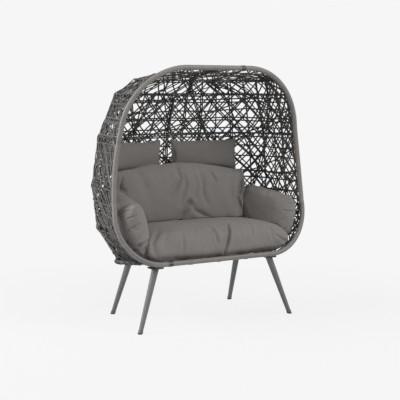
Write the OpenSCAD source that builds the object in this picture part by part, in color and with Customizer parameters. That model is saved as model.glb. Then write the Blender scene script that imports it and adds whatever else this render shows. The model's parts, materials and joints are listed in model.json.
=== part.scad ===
// Double egg chair: a two-seat garden chair with a woven hood on four splayed legs.
// Millimetres, Z up, the floor at Z = 0, the open front faces -Y and X = 0 is the middle.
// The origin is on the floor, midway between the foremost and the rearmost point.

/* [Rim] */
// Diameter of the wrapped tube that edges the opening
rim_d = 29; // [24:1:34]
// Half width of the opening at its widest, to the middle of the tube
rim_half_w = 642; // [600:1:690]
// Half width of the opening where its top corners end
rim_top_half_w = 594; // [560:1:630]
// Height of the bottom rail, to the middle of the tube
rim_bottom_z = 384; // [374:1:400]
// Height of the top rail, to the middle of the tube
rim_top_z = 1486; // [1470:1:1560]
// Bending radius of the two bottom corners
rim_bottom_r = 272; // [240:1:300]
// Bending radius of the two top corners
rim_top_r = 389; // [350:1:410]
// How far the upright sides swell out of a straight line
rim_side_swell = 11; // [0:1:20]
// How far the top rail stands behind the bottom rail
rim_lean = 21; // [0:1:60]
// How far the middle of the opening is set back from its ends
rim_bow = 86; // [40:1:110]
// Height at which the upper and the lower tube meet
rim_joint_z = 1070; // [900:5:1110]
// Diameter of the plug inside each joint
spigot_d = 20; // [12:1:20]
// Length of the plug inside each joint
spigot_l = 80; // [50:5:120]

/* [Shell hoops] */
// Diameter of the bent rods that carry the weave
hoop_d = 10; // [8:1:12]
// Height of the lower hoop
lower_z = 550; // [520:1:600]
// Depth of the lower hoop behind the front of the rim
lower_depth = 634; // [600:1:650]
// Height of the middle hoop
middle_z = 800; // [740:1:860]
// Depth of the middle hoop
middle_depth = 662; // [640:1:690]
// Height of the upper hoop
upper_z = 1085; // [1000:1:1130]
// Depth of the upper hoop
upper_depth = 639; // [600:1:660]
// Height of the crown hoop, where the back turns into the roof
crown_z = 1333; // [1300:1:1350]
// Depth of the crown hoop
crown_depth = 552; // [520:1:590]
// Height of the roof hoop
roof_z = 1416; // [1400:1:1430]
// Depth of the roof hoop
roof_depth = 455; // [420:1:490]
// Corner radius of the three wall hoops
wall_corner_r = 250; // [200:5:280]
// Corner radius of the two roof hoops
roof_corner_r = 205; // [170:5:230]
// How much the sides close in towards the back, per length
side_taper = 0.1; // [0:0.01:0.2]
// How much the back swells towards its middle, per length
back_swell = 0.06; // [0:0.01:0.12]
// Bending radius at each bend of a hoop or rib
rod_bend_r = 60; // [40:5:80]
// Diameter of the upright ribs
rib_d = 10; // [8:1:12]

/* [Base] */
// Diameter of the tube of the base ring
ring_d = 25; // [20:1:30]
// Height of the base ring, to the middle of its tube
ring_z = 372; // [366:1:376]
// Half width of the base ring at its front corners, measured square
ring_half_w = 510; // [500:1:530]
// Distance of the ring's front ends behind the front of the rim
ring_front = 183; // [175:1:195]
// Depth of the ring's back behind the front of the rim
ring_depth = 505; // [470:1:540]
// Bending radius of the ring's back corners
ring_corner_r = 200; // [180:5:230]
// Distance of the leg rails from the middle
rail_x = 388; // [370:1:400]
// Width of a leg rail
rail_w = 40; // [36:1:44]
// Thickness of a leg rail
rail_t = 12; // [8:1:12]
// Width of a seat bar
bar_w = 25; // [15:1:40]
// Thickness of a seat bar
bar_t = 6; // [4:1:8]
// Distance between seat bars
bar_pitch = 190; // [150:5:220]

/* [Legs] */
// Diameter of a leg at its foot
leg_foot_d = 25; // [22:1:28]
// Diameter of a leg at its top
leg_top_d = 40; // [34:1:42]
// Wall of a leg
leg_wall = 2; // [1.5:0.1:3]
// Distance of the front feet from the middle
front_foot_x = 517; // [480:1:540]
// Distance of the front feet behind the front of the rim
front_foot_y = 29; // [16:1:60]
// Distance of the back feet from the middle
back_foot_x = 423; // [400:1:460]
// Distance of the back feet behind the front of the rim
back_foot_y = 563; // [520:1:600]
// Distance of the front leg tops from the middle
front_top_x = 391; // [385:1:395]
// Distance of the front leg tops behind the front of the rim
front_top_y = 78; // [70:1:90]
// Distance of the back leg tops from the middle
back_top_x = 384; // [380:1:392]
// Distance of the back leg tops behind the front of the rim
back_top_y = 408; // [390:1:420]
// Width of a mounting plate
plate_w = 76; // [70:1:80]
// Thickness of a mounting plate
plate_t = 5; // [4:0.5:6]
// Diameter of the stud that holds a leg
stud_d = 8; // [6:1:10]
// Diameter of a plate screw
screw_d = 6; // [4:1:6]
// Wall of the plastic foot cap
cap_wall = 1.2; // [1:0.1:2]
// Height of the plastic foot cap
cap_h = 20; // [14:1:30]

/* [Net] */
// Width of a doubled strand of the weave
strand_w = 9; // [6:0.5:12]
// Thickness of the weave
net_t = 5; // [4:0.5:6]
// Distance between strands that run the same way
strand_pitch = 170; // [140:5:240]

/* [Cushions] */
// Width of the seat cushion
seat_w = 1010; // [960:5:1030]
// Depth of the seat cushion
seat_l = 470; // [440:5:480]
// Thickness of the seat cushion
seat_t = 200; // [120:5:210]
// Width of the back cushion
back_w = 905; // [820:5:930]
// Height of the back cushion
back_h = 360; // [340:5:370]
// Thickness of the back cushion
back_t = 150; // [90:5:170]
// Length of an arm cushion
arm_l = 435; // [360:5:450]
// Height of an arm cushion
arm_h = 300; // [240:5:320]
// Thickness of an arm cushion
arm_t = 130; // [80:5:140]
// Width of a headrest
head_w = 465; // [400:5:480]
// Height of a headrest
head_h = 195; // [160:5:220]
// Thickness of a headrest
head_t = 80; // [50:5:100]

/* [Hidden] */

// Named clearance between pieces that seat on each other
gap = 0.3;
rim_r = rim_d / 2;
hoop_r = hoop_d / 2;
rib_r = rib_d / 2;
ring_r = ring_d / 2;
overall_depth = max(lower_depth, middle_depth, upper_depth, back_foot_y) + hoop_r;
front_y = -overall_depth / 2;
wrap_colour = [0.49, 0.48, 0.47];
weave_colour = [0.30, 0.28, 0.27];
steel_colour = [0.36, 0.36, 0.37];
fabric_colour = [0.46, 0.44, 0.43];

// Vectors

function unit(v) = v / norm(v);
function lift(p, z) = [for (q = p) [q[0], q[1], z]];

// Both halves of a path that is given for X >= 0 and ends at X = 0
function both_halves(p) = concat(p, [for (i = [len(p) - 2:-1:0]) [-p[i][0], p[i][1], p[i][2]]]);

// Arc points that round the bend at p between a and b
function bend(a, p, b, r, steps) =
  let (
    u = unit(a - p),
    v = unit(b - p),
    half = acos(max(-1, min(1, u * v))) / 2,
    reach = min(r / tan(half), norm(a - p) * 0.49, norm(b - p) * 0.49),
    radius = reach * tan(half),
    centre = p + unit(u + v) * radius / sin(half)
  )
  half > 89 ? [p] : [
    for (i = [0:steps])
      let (
        sweep = 180 - 2 * half,
        w0 = unit(p + u * reach - centre),
        w1 = unit(p + v * reach - centre),
        t = i / steps
      )
      centre + radius * (sin((1 - t) * sweep) * w0 + sin(t * sweep) * w1) / sin(sweep)
  ];

// A path with every inner corner rounded
function rounded(p, r, steps = 3) = [
  for (i = [0:len(p) - 1])
    each (i == 0 || i == len(p) - 1) ? [p[i]] : bend(p[i - 1], p[i], p[i + 1], r, steps)
];

// A closed polyhedron swept along a path; up is never along the path
module sweep(path, r, up, sides = 10, closed = false) {
  n = len(path);
  rings = [
    for (i = [0:n - 1])
      let (
        before = closed ? path[(i + n - 1) % n] : path[max(i - 1, 0)],
        after = closed ? path[(i + 1) % n] : path[min(i + 1, n - 1)],
        t = unit(unit(path[i] == before ? after - path[i] : path[i] - before)
          + unit(path[i] == after ? path[i] - before : after - path[i])),
        side = unit(cross(t, up)),
        top = cross(side, t)
      )
      for (k = [0:sides - 1])
        let (a = 360 * k / sides) path[i] + r * (cos(a) * side + sin(a) * top)
  ];
  skin = [
    for (i = [0:(closed ? n - 1 : n - 2)])
      for (k = [0:sides - 1])
        let (
          a = i * sides + k,
          b = i * sides + (k + 1) % sides,
          c = ((i + 1) % n) * sides + (k + 1) % sides,
          d = ((i + 1) % n) * sides + k
        )
        each [[a, b, c], [a, c, d]]
  ];
  ends = closed ? [] : concat(
    [for (k = [1:sides - 2]) [0, k + 1, k]],
    [for (k = [1:sides - 2]) [(n - 1) * sides, (n - 1) * sides + k, (n - 1) * sides + k + 1]]
  );
  polyhedron(points = rings, faces = concat(skin, ends), convexity = 8);
}

// The opening, drawn for X >= 0 from the bottom to the top

rim_c1 = [rim_half_w - rim_bottom_r, rim_bottom_z + rim_bottom_r];
rim_c2 = [rim_top_half_w - rim_top_r, rim_top_z - rim_top_r];
rim_turn = atan2(rim_c2[1] - rim_c1[1], rim_c2[0] - rim_c1[0])
  - acos((rim_bottom_r - rim_top_r) / norm(rim_c2 - rim_c1));
rim_side_a = rim_c1 + rim_bottom_r * [cos(rim_turn), sin(rim_turn)];
rim_side_b = rim_c2 + rim_top_r * [cos(rim_turn), sin(rim_turn)];
rim_joint_t = (rim_joint_z - rim_side_a[1]) / (rim_side_b[1] - rim_side_a[1]);

// Distance of the rim's middle line from the origin, along Y, at a height
function rim_y(z) =
  let (s = (z - rim_bottom_z) / (rim_top_z - rim_bottom_z))
  front_y + rim_r + rim_lean * s + rim_bow * 4 * s * (1 - s);

function rim_point(q) = [q[0], rim_y(q[1]), q[1]];
function rim_low_arc(a) = rim_point(rim_c1 + rim_bottom_r * [cos(a), sin(a)]);
function rim_high_arc(a) = rim_point(rim_c2 + rim_top_r * [cos(a), sin(a)]);
function rim_side(t) = rim_point(
  rim_side_a * (1 - t) + rim_side_b * t
    + rim_side_swell * 4 * t * (1 - t) * [cos(rim_turn), sin(rim_turn)]
);

// The rim's middle line at a height on the right-hand side
function rim_at(z) =
  z < rim_side_a[1] ? rim_low_arc(asin((z - rim_c1[1]) / rim_bottom_r))
  : z > rim_side_b[1] ? rim_high_arc(asin((z - rim_c2[1]) / rim_top_r))
  : rim_side((z - rim_side_a[1]) / (rim_side_b[1] - rim_side_a[1]));

arc_steps = 12;
side_steps = 5;
joint_point = rim_side(rim_joint_t);
joint_dir = unit(rim_side(rim_joint_t + 0.02) - rim_side(rim_joint_t - 0.02));

// Straight piece of tube beside the joint, so that both ends are cut square to the same line
joint_straight = 12;
rim_lower_half = concat(
  [joint_point - joint_dir * gap / 2, joint_point - joint_dir * joint_straight],
  [for (i = [side_steps - 1:-1:1]) rim_side(rim_joint_t * i / side_steps)],
  [for (i = [arc_steps:-1:0]) rim_low_arc(-90 + (rim_turn + 90) * i / arc_steps)],
  [[0, rim_y(rim_bottom_z), rim_bottom_z]]
);
rim_upper_half = concat(
  [joint_point + joint_dir * gap / 2, joint_point + joint_dir * joint_straight],
  [for (i = [0:arc_steps]) rim_high_arc(rim_turn + (90 - rim_turn) * i / arc_steps)],
  [[0, rim_y(rim_top_z), rim_top_z]]
);
// A cylinder centred on the rim joint and lying along the tube
module at_joint(d, l) {
  turn = [0, acos(joint_dir[2]), atan2(joint_dir[1], joint_dir[0])];
  for (side = [0, 1])
    mirror([side, 0, 0]) translate(joint_point) rotate(turn)
      cylinder(d = d, h = l, center = true, $fn = 48);
}

module rim_lower() {
  color(wrap_colour) difference() {
    sweep(both_halves(rim_lower_half), rim_r, [0, 1, 0], sides = 12);
    at_joint(spigot_d + 2 * gap, spigot_l + 2 * gap);
  }
}

module rim_upper() {
  color(wrap_colour) difference() {
    sweep(both_halves(rim_upper_half), rim_r, [0, 1, 0], sides = 12);
    at_joint(spigot_d + 2 * gap, spigot_l + 2 * gap);
  }
}

module rim_spigots() {
  color(steel_colour) at_joint(spigot_d, spigot_l);
}

// Places and length of the bands that finish the wrapping, on the two straight rails
band_l = 26;
band_wall = 1.2;
top_band_x = 165;
bottom_band_x = -330;

module wrap_bands() {
  color(weave_colour)
    for (p = [[top_band_x, rim_top_z], [bottom_band_x, rim_bottom_z]])
      translate([p[0], rim_y(p[1]), p[1]]) rotate([0, 90, 0]) difference() {
        cylinder(r = rim_r + gap + band_wall, h = band_l, center = true, $fn = 48);
        cylinder(r = rim_r + gap, h = band_l + 2, center = true, $fn = 48);
      }
}

// Hoops: each leaves the rim, runs back, turns the corner in three bends and crosses the back

// Corner points of a hoop for X >= 0: side start, three bends, end of the corner, middle of the back
function hoop_plan(start, depth, corner_r) =
  let (
    back_y = front_y + depth,
    side_dir = unit([-side_taper, 1]),
    back_dir = unit([-1, back_swell]),
    meet_x = (start[0] - side_taper * (back_y - start[1])) / (1 - side_taper * back_swell),
    meet = [meet_x, back_y - back_swell * meet_x],
    turn = acos(side_dir * back_dir),
    reach = corner_r * tan(turn / 2),
    first = meet - reach * side_dir,
    centre = first + corner_r * [-side_dir[1], side_dir[0]],
    spoke = first - centre
  )
  concat(
    [[start[0], start[1]]],
    [
      for (i = [0:3])
        let (a = turn * i / 3)
        centre + [cos(a) * spoke[0] - sin(a) * spoke[1], sin(a) * spoke[0] + cos(a) * spoke[1]]
    ],
    [[0, back_y]]
  );

function hoop_points(z, depth, corner_r) = lift(hoop_plan(rim_at(z), depth, corner_r), z);

lower_points = hoop_points(lower_z, lower_depth, wall_corner_r);
middle_points = hoop_points(middle_z, middle_depth, wall_corner_r);
upper_points = hoop_points(upper_z, upper_depth, wall_corner_r);
crown_points = hoop_points(crown_z, crown_depth, roof_corner_r);
roof_points = hoop_points(roof_z, roof_depth, roof_corner_r);

// How much the rim leans back per height, at a height
function rim_slope(z) = (rim_y(z + 1) - rim_y(z - 1)) / 2;

// The rod starts where it is welded to the back of the rim tube
module hoop(points) {
  slope = rim_slope(points[0][2]);
  reach = (rim_r + gap) * sqrt(1 + slope * slope) + hoop_r * abs(slope);
  start = points[0] + unit(points[1] - points[0]) * reach;
  rod = concat([start], [for (i = [1:5]) points[i]]);
  color(steel_colour) sweep(rounded(both_halves(rod), rod_bend_r, 2), hoop_r, [0, 0, 1], sides = 8);
}

module hoop_lower() { hoop(lower_points); }
module hoop_middle() { hoop(middle_points); }
module hoop_upper() { hoop(upper_points); }
module hoop_crown() { hoop(crown_points); }
module hoop_roof() { hoop(roof_points); }

// Base ring: a tube round the back and sides whose ends turn in and meet the two leg rails

ring_corner = [ring_half_w, front_y + ring_front];
ring_rear = hoop_plan(ring_corner, ring_depth, ring_corner_r);
ring_points = lift(ring_rear, ring_z);

// The arc of a front corner takes all the length up to the first bend of the back corner
ring_side = norm(ring_rear[1] - ring_corner);
ring_front_turn = 90 + atan(side_taper);
ring_front_r = ring_side * tan(ring_front_turn / 2);
ring_front_centre = [ring_half_w - ring_side, ring_corner[1] + ring_front_r];
ring_arc_steps = 5;
ring_front_arc = [
  for (i = [0:ring_arc_steps])
    let (a = -90 + (180 - ring_front_turn) * i / ring_arc_steps)
    ring_front_centre + ring_front_r * [cos(a), sin(a)]
];
rail_outer_x = rail_x + rail_w / 2;

// The tube's middle line along Y where the arc of its front corner passes X
function ring_arc_y(x) =
  ring_front_centre[1] - sqrt(pow(ring_front_r, 2) - pow(max(0, x - ring_front_centre[0]), 2));

ring_end_x = rail_outer_x + gap;
ring_end_straight = 14;
ring_end_y = ring_arc_y(ring_end_x + ring_end_straight);
ring_half = concat(
  [[ring_end_x, ring_end_y], [ring_end_x + ring_end_straight, ring_end_y]],
  [for (q = ring_front_arc) if (q[0] > ring_end_x + 2 * ring_end_straight) q],
  [for (i = [2:5]) ring_rear[i]]
);

ring_path = both_halves(rounded(lift(ring_half, ring_z), rod_bend_r, 1));

module base_ring() {
  color(wrap_colour) sweep(ring_path, ring_r, [0, 0, 1], sides = 12);
}

// Face of the base ring's back along Y at a distance from the middle
function ring_back_y(x) = front_y + ring_depth - back_swell * x;

rail_bottom_z = ring_z - ring_r;
rail_top_z = rail_bottom_z + rail_t;

// The rails and bars start under the back of the bottom rail of the rim, at the height of their top
rail_front_y = rim_y(rim_bottom_z)
  + sqrt(pow(rim_r + gap, 2) - pow(min(rim_r, rim_bottom_z - rail_top_z), 2));

// The back of the ring where the rail's outer corner meets it, from the hoop's chords
function chord_y(p, x) =
  min([for (i = [1:4]) if (p[i][0] >= x && p[i + 1][0] < x)
    p[i][1] + (p[i + 1][1] - p[i][1]) * (p[i][0] - x) / (p[i][0] - p[i + 1][0])]);
function chord_slope(p, x) =
  min([for (i = [1:4]) if (p[i][0] >= x && p[i + 1][0] < x)
    abs(p[i + 1][1] - p[i][1]) / norm(p[i + 1] - p[i])]);
rail_back_y = chord_y(ring_rear, rail_outer_x)
  - (ring_r + gap) / sqrt(1 - pow(chord_slope(ring_rear, rail_outer_x), 2));

function plate_centres() = [
  [front_top_x, front_y + front_top_y, 1],
  [back_top_x, front_y + back_top_y, -1]
];
screw_side = 12;
screw_reach = 29;
plate_top_z = rail_bottom_z;
plate_bottom_z = plate_top_z - plate_t;

module screw_places() {
  for (p = plate_centres())
    for (s = [-1, 1])
      translate([p[0] + s * screw_side, p[1] + p[2] * screw_reach, 0]) children();
}

module leg_rails() {
  color(steel_colour) for (side = [0, 1]) mirror([side, 0, 0]) difference() {
    translate([rail_x - rail_w / 2, rail_front_y, rail_bottom_z])
      cube([rail_w, rail_back_y - rail_front_y, rail_t]);
    screw_places() translate([0, 0, rail_bottom_z - 1])
      cylinder(d = screw_d + 2 * gap, h = rail_t + 2, $fn = 32);
  }
}

module seat_bars() {
  color(steel_colour) for (i = [-1:1]) {
    x = i * bar_pitch;
    outer = abs(x) + bar_w / 2;
    stop = ring_back_y(outer) - (ring_r + gap) * sqrt(1 + back_swell * back_swell);
    translate([x - bar_w / 2, rail_front_y, rail_top_z - bar_t]) cube([bar_w, stop - rail_front_y, bar_t]);
  }
}

// Ribs: rods that run up the inside of the hoops

rib_offset = hoop_r + rib_r + gap;

// How far the rounding of a hoop's bend comes inside the corner point
bend_cut = rod_bend_r * (1 / cos(15) - 1);

// The rib through one bend of every hoop, moved inwards; along is the hoop's direction there
function rib_path(points, along, offset) =
  let (n = len(points))
  [
    for (i = [1:n - 2])
      let (
        a = unit(points[i] - points[i - 1]),
        b = unit(points[i + 1] - points[i]),
        inward = unit(cross(unit(a + b), along))
      )
      points[i] + inward * offset / max(0.7, sqrt((1 + a * b) / 2))
  ];

// Distance from a tube's middle line at which the square end of a rib meets the tube
function rib_seat(tube_r, offset) = sqrt(pow(tube_r + gap, 2) - pow(offset - rib_r, 2));

// The rib's lower end stands on the inner side of the ring's tube
module rib(points, along, offset) {
  inner = rib_path(points, along, offset);
  first = points[0];
  last = points[len(points) - 1];
  up = unit(points[1] - first);
  bottom = first + unit(cross(up, along)) * offset + up * rib_seat(ring_r, offset);
  color(steel_colour)
    sweep(rounded(concat([bottom], inner, [last]), rod_bend_r, 2), rib_r, along, sides = 8);
}

rim_top_middle = [0, rim_y(rim_top_z), rim_top_z];
centre_rib_points = [
  ring_points[5], lower_points[5], middle_points[5], upper_points[5], crown_points[5], roof_points[5]
];

module rib_centre() {
  along = [-1, 0, 0];
  up = unit(rim_top_middle - roof_points[5]);
  stop = rim_top_middle + cross(up, along) * rib_offset - up * rib_seat(rim_r, rib_offset);
  rib(concat(centre_rib_points, [stop]), along, rib_offset);
}

side_rib_points = [
  ring_points[2], lower_points[2], middle_points[2], upper_points[2], crown_points[2], roof_points[2]
];

module side_rib() {
  along = unit(middle_points[3] - middle_points[1]);
  n = len(side_rib_points) - 1;
  lean = unit(side_rib_points[n] - side_rib_points[n - 1]);
  stop = side_rib_points[n] + unit(cross(lean, along)) * (rib_offset + bend_cut) + lean * hoop_r;
  rib(concat(side_rib_points, [stop]), along, rib_offset + bend_cut);
}

module rib_right() { side_rib(); }
module rib_left() { mirror([1, 0, 0]) side_rib(); }

// Net: flat panels of crossing strands between the hoops

// Corners of a convex panel with every edge moved inwards by its own distance
function inset(p, d) = [
  for (i = [0:len(p) - 1])
    let (
      n = len(p),
      h = (i + n - 1) % n,
      u = unit(p[i] - p[h]),
      v = unit(p[(i + 1) % n] - p[i]),
      a = p[h] + d[h] * [-u[1], u[0]],
      b = p[i] + d[i] * [-v[1], v[0]],
      k = cross(b - a, v) / cross(u, v)
    )
    a + k * u
];

// Corners of a panel with each corner cut off at its own distance
function cut_corners(p, trims) = [
  for (i = [0:len(p) - 1])
    let (
      n = len(p),
      u = unit(p[(i + n - 1) % n] - p[i]),
      v = unit(p[(i + 1) % n] - p[i]),
      d = trims[i] / sqrt((1 + u * v) / 2)
    )
    each trims[i] == 0 ? [p[i]] : [p[i] + d * u, p[i] + d * v]
];

module strand(a, b) {
  along = unit(b - a);
  side = [-along[1], along[0]] * strand_w / 2;
  polygon([a - side, b - side, b + side, a + side]);
}

// Directions of the strands in degrees, each with its share of the pitch between strands
strand_ways = [[28, 1], [-36, 0.95], [74, 1.1], [-81, 1.2]];

// Strands laid over a field whose middle is c and whose reach is r, seen from start_u along the hoop
module strands(c, r, start_u, seed) {
  for (k = [0:len(strand_ways) - 1]) {
    a = strand_ways[k][0];
    pitch = strand_ways[k][1] * strand_pitch;
    along = [cos(a), sin(a)];
    side = [-sin(a), cos(a)];
    place = (c + [start_u, 0]) * side;
    for (i = [ceil((place - r) / pitch):floor((place + r) / pitch)]) {
      shift = rands(-0.32, 0.32, 2, seed + 13 * k + 101 * i);
      q = side * (i + shift[0]) * pitch - [start_u, 0];
      turned = [cos(a + 20 * shift[1]), sin(a + 20 * shift[1])];
      foot = q + along * ((c - q) * along);
      strand(foot - turned * r * 1.5, foot + turned * r * 1.5);
    }
  }
}

// One flat panel through three or four points
// edges gives the distance kept from each edge and trims the distance kept from each corner
module net_panel(p, edges, seed, start_u = 0, trims = [0, 0, 0, 0]) {
  u = unit(p[1] - p[0]);
  n = unit(cross(u, p[len(p) - 1] - p[0]));
  v = cross(n, u);
  flat = [for (q = p) [(q - p[0]) * u, (q - p[0]) * v]];
  field = inset(flat, edges);
  middle = [for (q = field) 1 / len(field)] * field;
  reach = max([for (q = field) norm(q - middle)]);
  multmatrix([
    [u[0], v[0], n[0], p[0][0]],
    [u[1], v[1], n[1], p[0][1]],
    [u[2], v[2], n[2], p[0][2]]
  ])
    linear_extrude(height = net_t, center = true)
      offset(delta = -4) offset(delta = 4) woven(strand_w) {
        intersection() {
          offset(delta = 6, chamfer = true) offset(delta = -6) polygon(field);
          polygon(cut_corners(flat, trims));
        }
        strands(middle, reach, start_u, seed);
      }
}

// The part of the second child that lies on the first one, with a border round it
module woven(border) {
  intersection() {
    children(0);
    union() {
      difference() {
        children(0);
        offset(delta = -border) children(0);
      }
      children(1);
    }
  }
}

// Clearance on each side of a seam between panels, where the net folds and where it runs on flat
fold_seam = 0.8;
seam = 0.3;
planar_limit = 0.5;

// Length of a row of points up to point i
function run(p, i) = i == 0 ? 0 : norm(p[i] - p[i - 1]) + run(p, i - 1);

// Panels between two rows of points, split in two where four points aren't in one plane
module net_band(low, high, low_edge, high_edge, first_edge, fold, seed) {
  for (i = [0:len(low) - 2]) {
    a = low[i];
    b = low[i + 1];
    c = high[i + 1];
    d = high[i];
    start = i == 0 ? first_edge : fold;
    u = run(low, i);
    apart = norm(a - d);
    twist = apart < 1 ? 0 : abs(unit(cross(b - a, c - a)) * (d - a));
    if (apart < 1)
      net_panel([a, b, c], [low_edge, fold, high_edge], seed, u);
    else if (twist < planar_limit)
      net_panel([a, b, c, d], [low_edge, fold, high_edge, start], seed, u);
    else {
      net_panel([a, b, d], [low_edge, seam, start], seed, u, [0, 0, high_edge]);
      net_panel([b, c, d], [fold, high_edge, seam], seed, u, [low_edge, 0, 0]);
    }
  }
}

module mirrored_pair() {
  children();
  mirror([1, 0, 0]) children();
}

hoop_edge = hoop_r + gap;
ring_edge = ring_r + gap;

// Distance kept from the chord between two heights of the rim, because the rim bows behind it
function rim_edge(low, high) =
  rim_r + gap + rim_bow * pow((high - low) / (rim_top_z - rim_bottom_z), 2);

// Front corners of the base, where the weave comes down from the rim to the ring's rounded corner
ring_step_turn = (180 - ring_front_turn) / ring_arc_steps;
corner_cut = ring_edge + ring_front_r * (1 - cos(ring_step_turn))
  + rod_bend_r * (1 / cos(ring_step_turn / 2) - 1);
corner_rim_edge = rim_edge(rim_bottom_z, lower_z) + hoop_r;

module net_lower_front() {
  knee = rim_low_arc(-50);
  toe = rim_low_arc(-80);
  start = ring_points[1];
  bow = lift([ring_front_arc[3]], ring_z)[0];
  tip = [ring_end_x + ring_end_straight, ring_end_y, ring_z];
  on_ring = ring_edge + gap;
  on_rim = rim_r + 2 * gap;
  wall = [start, lower_points[1], lower_points[0]];
  net_panel(wall, [fold_seam, hoop_edge, seam], 60, 0, [2 * on_ring, 0, on_rim]);
  net_panel([start, lower_points[0], knee], [seam, corner_rim_edge, seam], 61, 0, [4 * on_ring, 0, 0]);
  net_panel([bow, start, knee], [corner_cut, seam, seam], 62, 0, [0, 0, on_rim]);
  net_panel([bow, knee, toe], [seam, corner_rim_edge, seam], 63, 0, [2 * on_ring, 0, 0]);
  net_panel([tip, bow, toe], [corner_cut, seam, seam], 64, 0, [0, 0, on_rim]);
}

module net_lower() {
  color(weave_colour) mirrored_pair() {
    net_band(
      [for (i = [1:5]) ring_points[i]], [for (i = [1:5]) lower_points[i]],
      ring_edge + gap, hoop_edge + gap, fold_seam, fold_seam, 1
    );
    net_lower_front();
  }
}

module wall_net(low, high, low_edge, seed) {
  color(weave_colour) mirrored_pair()
    net_band(low, high, low_edge, hoop_edge, rim_edge(low[0][2], high[0][2]), fold_seam, seed);
}

module net_middle() { wall_net(lower_points, middle_points, hoop_edge, 11); }
module net_upper() { wall_net(middle_points, upper_points, hoop_edge, 21); }
module net_crown() { wall_net(upper_points, crown_points, hoop_edge, 31); }
module net_shoulder() { wall_net(crown_points, roof_points, hoop_edge + bend_cut, 41); }

// Points of the top of the rim that face the bends of the roof hoop
roof_start_angle = asin((roof_z - rim_c2[1]) / rim_top_r);
roof_rim_points = concat(
  [roof_points[0]],
  [for (i = [1:4]) rim_high_arc(roof_start_angle + (90 - roof_start_angle) * i / 4)],
  [rim_top_middle]
);

module net_roof() {
  edge = rim_r + band_wall + 2 * gap;
  color(weave_colour) mirrored_pair()
    net_band(roof_points, roof_rim_points, hoop_edge + bend_cut, edge, edge, seam, 51);
}

floor_net_z = rail_top_z + gap;

module floor_net() {
  front = rim_y(rim_bottom_z) + rim_r - ring_r;
  side = rail_outer_x + ring_edge;
  plan = concat([[-side, front], [side, front]], [for (q = ring_path) [q[0], q[1]]]);
  middle = [0, front_y + ring_depth / 2];
  color(weave_colour) translate([0, 0, floor_net_z]) linear_extrude(height = net_t)
    offset(delta = -4) offset(delta = 4) woven(strand_w) {
      offset(delta = -ring_edge) polygon(plan);
      strands(middle, ring_half_w, 0, 71);
    }
}

// Legs: tapered tubes from a foot on the floor to a plate under the base

function leg_ends(front) = front
  ? [[front_foot_x, front_y + front_foot_y, 0], [front_top_x, front_y + front_top_y, plate_bottom_z]]
  : [[back_foot_x, front_y + back_foot_y, 0], [back_top_x, front_y + back_top_y, plate_bottom_z]];

sole = 6;
over_top = 30;

// Children are drawn with Z along the leg and the foot's middle at the origin
module along_leg(front) {
  ends = leg_ends(front);
  d = unit(ends[1] - ends[0]);
  translate(ends[0]) rotate(a = acos(d[2]), v = [-d[1], d[0], 0]) children();
}

function leg_l(front) = norm(leg_ends(front)[1] - leg_ends(front)[0]);

// A cone on the leg's axis whose radius follows the leg's taper, less a wall
module leg_cone(front, from, to, less) {
  grow = (leg_top_d - leg_foot_d) / 2 / leg_l(front);
  translate([0, 0, from])
    cylinder(
      r1 = leg_foot_d / 2 + grow * from - less,
      r2 = leg_foot_d / 2 + grow * to - less,
      h = to - from, $fn = 48
    );
}

// Thickness of the block that trims the legs and the caps
trim_h = 200;

module trim_above(z) {
  translate([-rim_half_w, -overall_depth, z]) cube([2 * rim_half_w, 2 * overall_depth, trim_h]);
}

module leg(front) {
  color(steel_colour) difference() {
    along_leg(front) leg_cone(front, sole, leg_l(front) + over_top, 0);
    along_leg(front) leg_cone(front, sole + 4, leg_l(front) + over_top + 1, leg_wall);
    trim_above(plate_bottom_z);
  }
}

module leg_front_right() { leg(true); }
module leg_front_left() { mirror([1, 0, 0]) leg(true); }
module leg_back_right() { leg(false); }
module leg_back_left() { mirror([1, 0, 0]) leg(false); }

insert_h = 26;
stud_below = 18;

module leg_inserts() {
  color("dimgray") mirrored_pair() for (front = [true, false]) difference() {
    along_leg(front) leg_cone(front, leg_l(front) - insert_h, leg_l(front) + over_top, leg_wall + gap);
    trim_above(plate_bottom_z);
    translate([leg_ends(front)[1][0], leg_ends(front)[1][1], plate_bottom_z - 2 * insert_h])
      cylinder(d = stud_d + 2 * gap, h = 3 * insert_h, $fn = 32);
  }
}

module leg_studs() {
  color("silver") mirrored_pair() for (p = plate_centres())
    translate([p[0], p[1], plate_bottom_z - stud_below])
      cylinder(d = stud_d, h = stud_below + plate_t, $fn = 32);
}

module leg_plates() {
  color([0.2, 0.2, 0.2]) mirrored_pair() difference() {
    for (p = plate_centres())
      translate([p[0], p[1], plate_bottom_z]) intersection() {
        translate([-plate_w / 2, -plate_w / 2, 0]) cube([plate_w, plate_w, plate_t]);
        cylinder(r = plate_w * 0.62, h = plate_t, $fn = 64);
      }
    for (p = plate_centres())
      translate([p[0], p[1], plate_bottom_z - 1]) cylinder(d = stud_d + 2 * gap, h = plate_t + 2, $fn = 32);
    screw_places() translate([0, 0, plate_bottom_z - 1])
      cylinder(d = screw_d + 2 * gap, h = plate_t + 2, $fn = 32);
  }
}

screw_head_d = 10;
screw_head_h = 3;

module plate_screws() {
  color("silver") mirrored_pair() screw_places() {
    translate([0, 0, plate_bottom_z - screw_head_h]) cylinder(d = screw_head_d, h = screw_head_h, $fn = 32);
    translate([0, 0, plate_bottom_z]) cylinder(d = screw_d, h = plate_t + rail_t - 2, $fn = 32);
  }
}

module foot_caps() {
  color([0.15, 0.15, 0.15]) mirrored_pair() for (front = [true, false]) difference() {
    along_leg(front) leg_cone(front, -sole * 2, cap_h, -gap - cap_wall);
    along_leg(front) leg_cone(front, sole - gap, cap_h + 1, -gap);
    trim_above(-trim_h);
  }
}

// Cushions: closed pillows, X across, Y up the cushion and Z through its thickness

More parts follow.
